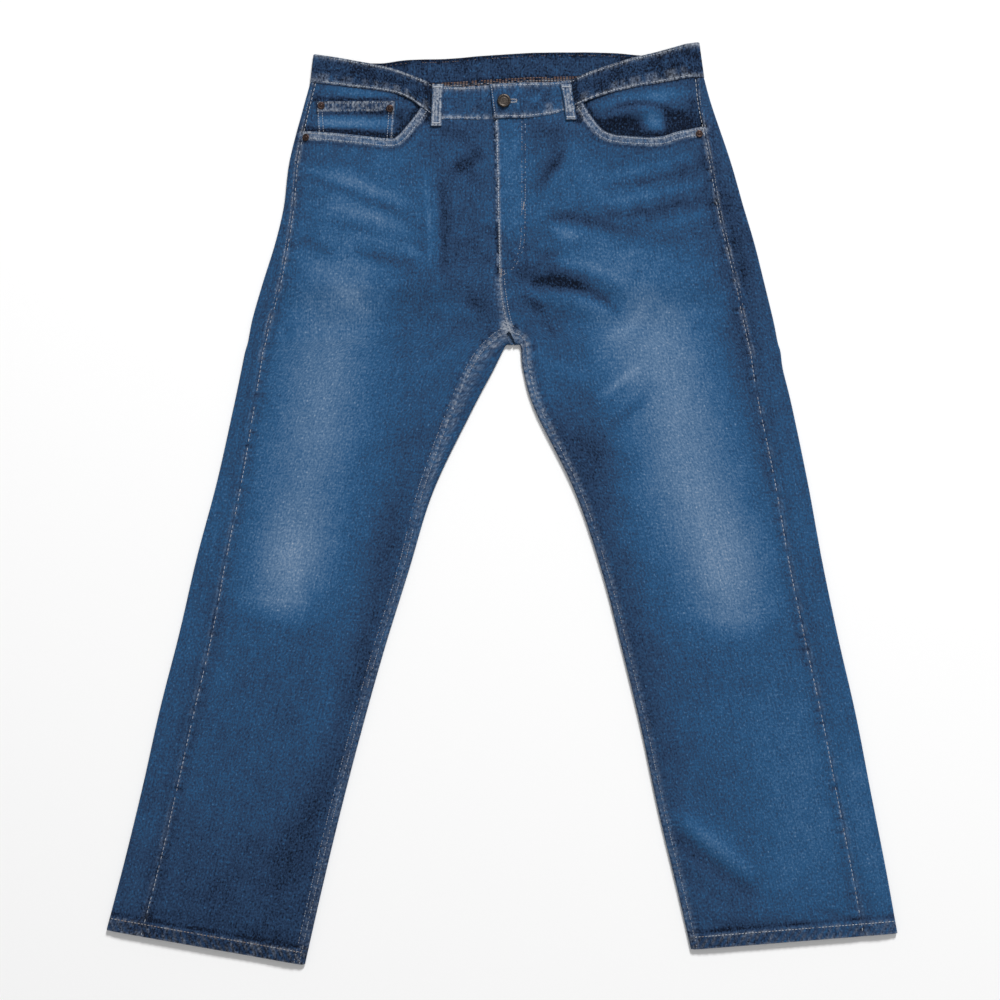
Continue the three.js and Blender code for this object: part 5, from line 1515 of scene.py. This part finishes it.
def bar_tack(x, y, turn, level, rise, facing=1, length=9.0, width=1.9, hue=0.0, seed=7):
    """A bar tack: close stitches across a short bar."""
    c, s = math.cos(math.radians(turn)), math.sin(math.radians(turn))
    rows = []
    for k, at in enumerate(np.arange(-length / 2, length / 2 + 0.1, 0.75)):
        lean = 0.25 if k % 2 else -0.25
        ends = np.array([[at - lean, -width / 2], [at + lean, width / 2]])
        plan = np.column_stack([x + ends[:, 0] * c - ends[:, 1] * s, y + ends[:, 0] * s + ends[:, 1] * c])
        path = laid_on(plan, level, rise + facing * 0.12, 0.8)
        look = dict(length=width, radius=0.34, facing=facing, hue=hue, missing=0, seed=seed + k)
        rows.append(stitches(path, pitch=width, **look))
    return rows


def sewn(surface, line, **look):
    """A row of stitches along a plan line on a surface, which is a level and a rise above it."""
    return stitches(laid_on(line, *surface), **look)


ON_FRONT = (front_level, WALL / 2)
ON_COIN_POCKET = (coin_level, LINING_WALL / 2)
UNDER_BACK = (back_level, -WALL / 2)
UNDER_BACK_POCKET = (lambda x, y: 0 * x, 0.0)
ON_BACK_BAND = (band_back, BAND_WALL / 2)
UNDER_BACK_BAND = (band_back, -BAND_WALL / 2)
ON_LAP = (band_over, BAND_WALL / 2)


def leg_rows(side, leg):
    """Rows of one front: two round the pocket mouth, the side seam, the inseam and the hem."""
    out = leg.sign
    rows = []
    for reach, seed in ((2.2, 22), (8.6, 86)):
        rows.append(sewn(ON_FRONT, beside(leg.mouth_line, out * reach), hue=0.1, seed=seed))
    seam = leg.side_line
    rows.append(
        sewn(ON_FRONT, beside(seam, -out * 1.4), pitch=5.8, length=4.2, missing=0.22, hue=0.12, seed=3)
    )
    faint = beside(seam[: FORK * STEPS], out * 1.8)
    rows.append(sewn(ON_FRONT, faint, radius=0.26, missing=0.6, hue=0.3, seed=4))
    for reach in (1.8, 8.2) if side == "right" else (1.8,):
        inseam = beside(leg.seam_line[(FORK - 1) * STEPS :], out * reach)
        rows.append(sewn(ON_FRONT, inseam, radius=0.28, missing=0.3, hue=0.25, seed=5))
    up_leg = leg.row(len(leg.table) - 2)["outer"] - leg.hem_line[0]
    hem = leg.hem_line + up_leg / np.linalg.norm(up_leg) * HEM_STITCH
    hem = towards(hem, hem[::-1], [1.0, 1.0])
    hue = 0.5 if side == "right" else 0.2
    rows.append(sewn(ON_FRONT, hem, pitch=4.2, length=3.3, radius=0.42, hue=hue, missing=0.06, seed=6))
    return rows


# The fly's curved row, from the waist seam down to the fly's edge
J_STITCH = [(29, 478), (29, 400), (28.5, 345), (26, 318), (18, 299), (6, 288), (-3, 284)]


def fly_rows():
    """The fly: the curved double row, the edge, and the rise seam down to the fork."""
    curve = through(J_STITCH, np.linspace(0, len(J_STITCH) - 1, 80))
    edge = LEGS["left"].seam_line[: FORK * STEPS + 2]
    upper, rise = edge[edge[:, 1] > 286], edge[(edge[:, 1] < 292) & (edge[:, 1] > 216)]
    rows = [
        sewn(ON_FRONT, curve, radius=0.28, hue=0.2, missing=0.35, seed=11),
        sewn(ON_FRONT, beside(curve, -4.2), radius=0.26, hue=0.3, missing=0.4, seed=12),
        sewn(ON_FRONT, beside(upper, 2.0), pitch=3.4, length=2.8, radius=0.45, hue=0.05, seed=13),
    ]
    rows += [sewn(ON_FRONT, beside(rise, reach), hue=0.25, seed=14) for reach in (1.8, 7.6)]
    rows += bar_tack(-1, 288, 84, *ON_FRONT, hue=0.5, length=10)
    return rows + bar_tack(27, 372, 82, *ON_FRONT, hue=0.3, length=9, seed=30)


def coin_rows():
    """Coin pocket: two rows along its turned top and two down each side."""
    left, right, top, foot, taper = (COIN_POCKET[key] for key in ("left", "right", "top", "bottom", "taper"))
    rows = []
    for down in (1.8, 10.5):
        line = np.array([(left + 1, top - down), (right - 1, top - down)], float)
        rows.append(sewn(ON_COIN_POCKET, line, hue=0.15, seed=15))
    for edge, way in ((left, 1), (right, -1)):
        for reach in (1.5, 6.5):
            line = np.array([(edge + way * reach, top - 1), (edge + way * (reach + taper), foot + 2)], float)
            rows.append(sewn(ON_COIN_POCKET, line, hue=0.15, seed=16))
    return rows


def band_rows():
    """Waistband: a row along each edge of the front, the binding inside the back, the lapped
    end, and the rows seen from underneath."""
    rows = []
    for table, level in ((BAND_FRONT_RIGHT[3:], band_under), (BAND_FRONT_LEFT, band_over)):
        surface = (level, BAND_WALL / 2)
        rows.append(sewn(surface, band_line(table, 0.055), hue=0.12, missing=0.12, seed=17))
        foot = band_line(table, 0.945)
        rows.append(sewn(surface, foot, pitch=3.4, length=2.7, hue=0.02, missing=0.03, seed=18))
    for k, (share, hue) in enumerate(((0.79, 1.0), (0.84, 0.85), (0.89, 0.55), (0.94, 0.9))):
        look = dict(pitch=3.8, length=3.2, hue=hue, radius=0.62, missing=0.2, seed=200 + k)
        rows.append(sewn(ON_BACK_BAND, band_line(BAND_BACK, share), **look))
    rows.append(sewn(ON_BACK_BAND, band_line(BAND_BACK, 0.09), radius=0.28, hue=0.8, missing=0.5, seed=21))
    rows.append(sewn(ON_LAP, np.array([(-13.2, 521), (-8.4, 483)]), hue=0.05, seed=22))
    for share in (0.06, 0.94):
        rows.append(sewn(UNDER_BACK_BAND, band_line(BAND_BACK, share), facing=-1, hue=0.3, seed=23))
    return rows


def buttonhole_rows():
    """A slit beside the button with close stitches along both sides and round its end."""
    def close_stitch(start, end, seed):
        path = laid_on(np.array([start, end]), band_over, BAND_WALL / 2 + 0.1, 0.8)
        return stitches(path, pitch=2.2, length=2.2, radius=0.3, hue=0.3, missing=0, seed=seed)

    x, y, rows = BUTTON["x"], BUTTON["y"], []
    last = x + BUTTON["hole"] - 2.5
    for k, at in enumerate(np.arange(x + 3, last, 0.8)):
        for way in (-1, 1):
            rows.append(close_stitch((at, y + way * 0.7), (at + 0.1, y + way * 2.9), 300 + 2 * k + (way > 0)))
    for angle in range(-70, 71, 20):
        c, s = math.cos(math.radians(angle)), math.sin(math.radians(angle))
        rows.append(close_stitch((last + 0.6 * c, y + 0.7 * s), (last + 2.8 * c, y + 2.9 * s), 400 + angle))
    return rows


def front_loop_rows():
    """Front belt loops: a row down each side and a bar tack at each end."""
    rows = []
    for grid in front_loop_grids.values():
        for column in (4, 20):
            path = grid[2:-2, column] + np.array([0, 0, LOOP_WALL / 2])
            rows.append(stitches(path, hue=0.05, missing=0.25, seed=24))
        for row in (3, -4):
            x, y, z = grid[row, 12]
            level = lambda px, py, z=z: z + 0 * px
            rows += bar_tack(x, y, 0, level, LOOP_WALL / 2 + 0.1, length=10, seed=40)
    return rows


def back_leg_rows(side, leg):
    """The yoke seam, the centre seam on the left and the hem, seen from underneath."""
    look = dict(facing=-1, hue=0.3)
    waist, yoke = leg.row(0), leg.row(1)
    ends = np.stack([mix(yoke["outer"], yoke["inner"], 0.02), mix(yoke["inner"], yoke["outer"], 0.02)])
    line = ends[0] + (ends[1] - ends[0]) * np.linspace(0, 1, 60)[:, None]
    start, end = waist["outer"], waist["inner"]
    straight = mix(start[1], end[1], (line[:, 0] - start[0]) / (end[0] - start[0]))
    line[:, 1] += (edge_at(BACK_BAND, line[:, 0]) - straight) * (1 - smooth(1 / BULGE_ROWS))
    rows = [sewn(UNDER_BACK, beside(line, leg.sign * reach), seed=25, **look) for reach in (1.8, 8.2)]
    if side == "left":
        centre = leg.centre_back[::-1]
        rows += [sewn(UNDER_BACK, beside(centre, reach), seed=26, **look) for reach in (-1.8, -8.2)]
    hem = leg.hem_line + np.array([0, HEM_STITCH])
    hem = towards(hem, hem[::-1], [3.0, 1.0])
    rows.append(sewn(UNDER_BACK, hem, facing=-1, hue=0.5, seed=27))
    return rows


def back_pocket_rows(pocket):
    """Two rows round a back pocket's sides and foot, and two across its top."""
    half, taper, rows = BACK_POCKET["half"], BACK_POCKET["taper"], []
    for reach in (1.8, 8.2):
        h, side, tip = half - reach, BACK_POCKET["side"] - reach * 0.8, BACK_POCKET["tip"] - reach * 1.1
        across, down = np.array([-h, taper - h, 0, h - taper, h]), np.array([1, side, tip, side, 1])
        plan = np.column_stack(on_back_pocket(pocket, across, down))
        rows.append(sewn(UNDER_BACK_POCKET, plan, facing=-1, hue=0.35, seed=28))
    for reach in (2.0, 14.0):
        plan = np.column_stack(on_back_pocket(pocket, np.array([2 - half, half - 2]), reach))
        rows.append(sewn(UNDER_BACK_POCKET, plan, facing=-1, hue=0.35, seed=29))
    return rows


def back_loop_rows(loop):
    """A row down each side of a back belt loop."""
    rows = []
    for k in (-4, 4):
        path = np.array([(loop[0] + k, loop[1] - 2, 0.1), (loop[2] + k, loop[3] + 2, 0.1)], float)
        rows.append(stitches(path, facing=-1, hue=0.3, seed=31))
    return rows


threads = {
    "front_leg_right": thread_piece("stitches_front_right", leg_rows("right", LEGS["right"]) + coin_rows()),
    "front_leg_left": thread_piece("stitches_front_left", leg_rows("left", LEGS["left"]) + fly_rows()),
    "waistband": thread_piece("stitches_waistband", band_rows() + buttonhole_rows() + front_loop_rows()),
    "back_leg_right": thread_piece(
        "stitches_back",
        [row for side, leg in LEGS.items() for row in back_leg_rows(side, leg)]
        + [row for pocket in BACK_POCKETS.values() for row in back_pocket_rows(pocket)]
        + [row for loop in BACK_LOOPS.values() for row in back_loop_rows(loop)],
    ),
}


# Metal trim
def turned(name, profile, place, normal, material, node, sides=40, per_row=6):
    """A turned piece: a smooth profile of (radius, height) carried round an axis, closed by a
    single point at both ends, then laid on a slope and moved to its place."""
    fine = fine_through(profile, per_row)
    fine[:, 0] = np.maximum(fine[:, 0], 0)
    body = fine[1:-1]
    angle = np.arange(sides) * 2 * math.pi / sides
    x, y = body[:, :1] * np.cos(angle), body[:, :1] * np.sin(angle)
    ring = np.stack([x, y, body[:, 1:] + 0 * angle], -1).reshape(-1, 3)
    points = np.vstack([ring, [[0, 0, fine[0, 1]], [0, 0, fine[-1, 1]]]])
    index = np.arange(len(body) * sides).reshape(len(body), sides)
    after = np.roll(index, -1, axis=1)
    quads = np.stack([index[:-1], after[:-1], after[1:], index[1:]], -1).reshape(-1, 4)
    first, last = len(ring), len(ring) + 1
    ends = [[first, b, a] for a, b in zip(index[0], after[0])]
    ends += [[last, a, b] for a, b in zip(index[-1], after[-1])]
    normal = np.array(normal) / np.linalg.norm(normal)
    across = np.cross([0, 1, 0], normal)
    across /= np.linalg.norm(across)
    basis = np.stack([across, np.cross(normal, across), normal])
    points, faces = points @ basis + np.array(place), quads.tolist() + ends
    mesh_piece(name, points, faces, {}, material, node)


def button():
    """The button: a ring with a hollow middle on a shank that goes down through the band."""
    x, y = BUTTON["x"], BUTTON["y"]
    levels = [float(level(np.array([x]), np.array([y]))[0]) for level in (band_over, band_under)]
    top, foot = (level + BAND_WALL / 2 + SEAM_GAP for level in levels)
    shank = [(0, foot - top), (2.0, foot - top), (2.0, (foot - top) * 0.5), (2.1, 0.0)]
    rim = [(6.5, 0.05), (8.2, 0.35), (8.5, 0.95), (8.25, 1.9), (7.5, 2.7), (6.6, 3.0), (5.9, 2.75)]
    hollow = [(5.3, 2.3), (4.4, 2.2), (3.4, 2.35), (2.4, 2.25), (1.2, 2.3), (0, 2.3)]
    turned("button_head", shank + rim + hollow, (x, y, top), (0, 0, 1), button_metal, "button")


def rivet(name, x, y, level, rise, reach=4.6):
    """A rivet, laid on the slope of the cloth round it: a flat rim and a small dome."""
    around = level(np.array([x + reach, x - reach, x, x, x]), np.array([y, y, y + reach, y - reach, y]))
    slope = (-(around[0] - around[1]) / (2 * reach), -(around[2] - around[3]) / (2 * reach), 1)
    rim = [(0, -0.2), (4.2, -0.2), (reach, 0.15), (4.45, 0.7), (3.8, 1.05), (2.9, 1.0)]
    dome = [(2.2, 0.85), (1.8, 1.2), (1.4, 1.65), (0.7, 1.75), (0, 1.7)]
    place = (x, y, max(around[:4].mean(), around[4]) + rise + SEAM_GAP)
    turned(name + "_head", rim + dome, place, slope, rivet_metal, name, sides=28, per_row=4)


button()
for name, (x, y, on) in RIVETS.items():
    rivet(name, x, y, *(ON_COIN_POCKET if on == "coin" else ON_FRONT))


# Zip, closed and hidden under the fly: two tapes with a chain of teeth between them
def zip_line(t):
    """Middle of the zip from its top to its foot."""
    return mix(ZIP["top_x"], ZIP["foot_x"], t), mix(ZIP["top_y"], ZIP["foot_y"], t)


def zip_level(x, y):
    """Middle of the tapes, under the front layer."""
    return front_level(x, y) - WALL / 2 - SEAM_GAP - ZIP["sunk"]


def zip_tapes():
    """The tapes, as one strip."""
    middle_x, middle_y = zip_line(np.linspace(0, 1, 61)[:, None])
    k = np.linspace(-1, 1, 9)[None]
    x, y = middle_x + ZIP["half"] * k, middle_y + 0 * k
    grid = np.stack([x, y, zip_level(x, y)], -1)
    shell("zip_tapes", grid, 0.8, (x, y), {}, tape_material, "zip", reverse=0)


def box_rows(centre, size):
    """Many small boxes of one size. Returns points and faces."""
    square = np.array([(-1, -1), (1, -1), (1, 1), (-1, 1)])
    corner = np.vstack([np.insert(square, 2, z, axis=1) for z in (-1, 1)]) / 2
    face = np.array([(0, 3, 2, 1), (4, 5, 6, 7), (0, 1, 5, 4), (1, 2, 6, 5), (2, 3, 7, 6), (3, 0, 4, 7)])
    points = centre[:, None] + corner[None] * np.array(size)
    return points.reshape(-1, 3), (face[None] + 8 * np.arange(len(centre))[:, None, None]).reshape(-1, 4)


def zip_teeth(count=120):
    """The chain: small teeth set to the two sides in turn."""
    x, y = zip_line(np.linspace(0.02, 0.97, count))
    x = x + np.where(np.arange(count) % 2, 1.0, -1.0)
    points, faces = box_rows(np.stack([x, y, zip_level(x, y) - 0.55], -1), (3.2, 1.1, 0.9))
    return mesh_piece("zip_teeth", points, faces.tolist(), {}, button_metal)


zip_tapes()
threads["zip"] = zip_teeth()


# Floor, light and camera, in metres
FLOOR_HALF, FLOOR_Z = 6.0, -0.0006
VIEW_WIDTH = 1.25  # what the picture's width shows, at the height of the cloth
VIEW_HEIGHT = 2.6
CLOTH_HEIGHT = 0.005


def stage_floor():
    """A pale floor, a little under the cloth that lies on it."""
    mesh = bpy.data.meshes.new("floor")
    corners = [(-1, -1), (1, -1), (1, 1), (-1, 1)]
    mesh.from_pydata([(x * FLOOR_HALF, y * FLOOR_HALF, FLOOR_Z) for x, y in corners], [], [(0, 1, 2, 3)])
    floor = bpy.data.objects.new("floor", mesh)
    bpy.context.scene.collection.objects.link(floor)
    material = bpy.data.materials.new("pale_floor")
    material.use_nodes = True
    shader = material.node_tree.nodes["Principled BSDF"]
    shader.inputs["Base Color"].default_value = (0.93, 0.93, 0.93, 1)
    shader.inputs["Roughness"].default_value = 0.9
    shader.inputs["Specular IOR Level"].default_value = 0.1
    mesh.materials.append(material)


def area_light(name, place, aim, size, power):
    """A round lamp at a place, turned to what it lights."""
    light = bpy.data.lights.new(name, "AREA")
    light.shape, light.size, light.energy = "DISK", size, power
    lamp = bpy.data.objects.new(name, light)
    lamp.location = place
    way = np.array(aim) - np.array(place)
    lamp.rotation_euler = Vector(way).to_track_quat("-Z", "Y").to_euler()
    bpy.context.scene.collection.objects.link(lamp)


stage_floor()
area_light("window", (2.0, 7.6, 6.0), (0, 0, 0), 2.4, 1050)
area_light("ceiling", (0.6, -0.4, 4.0), (0, 0, 0), 3.5, 25)
world = bpy.data.worlds.new("studio")
world.use_nodes = True
world.node_tree.nodes["Background"].inputs["Color"].default_value = (1, 1, 1, 1)
world.node_tree.nodes["Background"].inputs["Strength"].default_value = 0.3
bpy.context.scene.world = world

camera_data = bpy.data.cameras.new("camera")
camera_data.lens = 36 * (VIEW_HEIGHT - CLOTH_HEIGHT) / VIEW_WIDTH
camera_data.clip_end = 50
camera = bpy.data.objects.new("camera", camera_data)
camera.location = (-0.0025, 0.0044, VIEW_HEIGHT)
bpy.context.scene.collection.objects.link(camera)
bpy.context.scene.camera = camera
bpy.context.scene.view_settings.view_transform = "Standard"
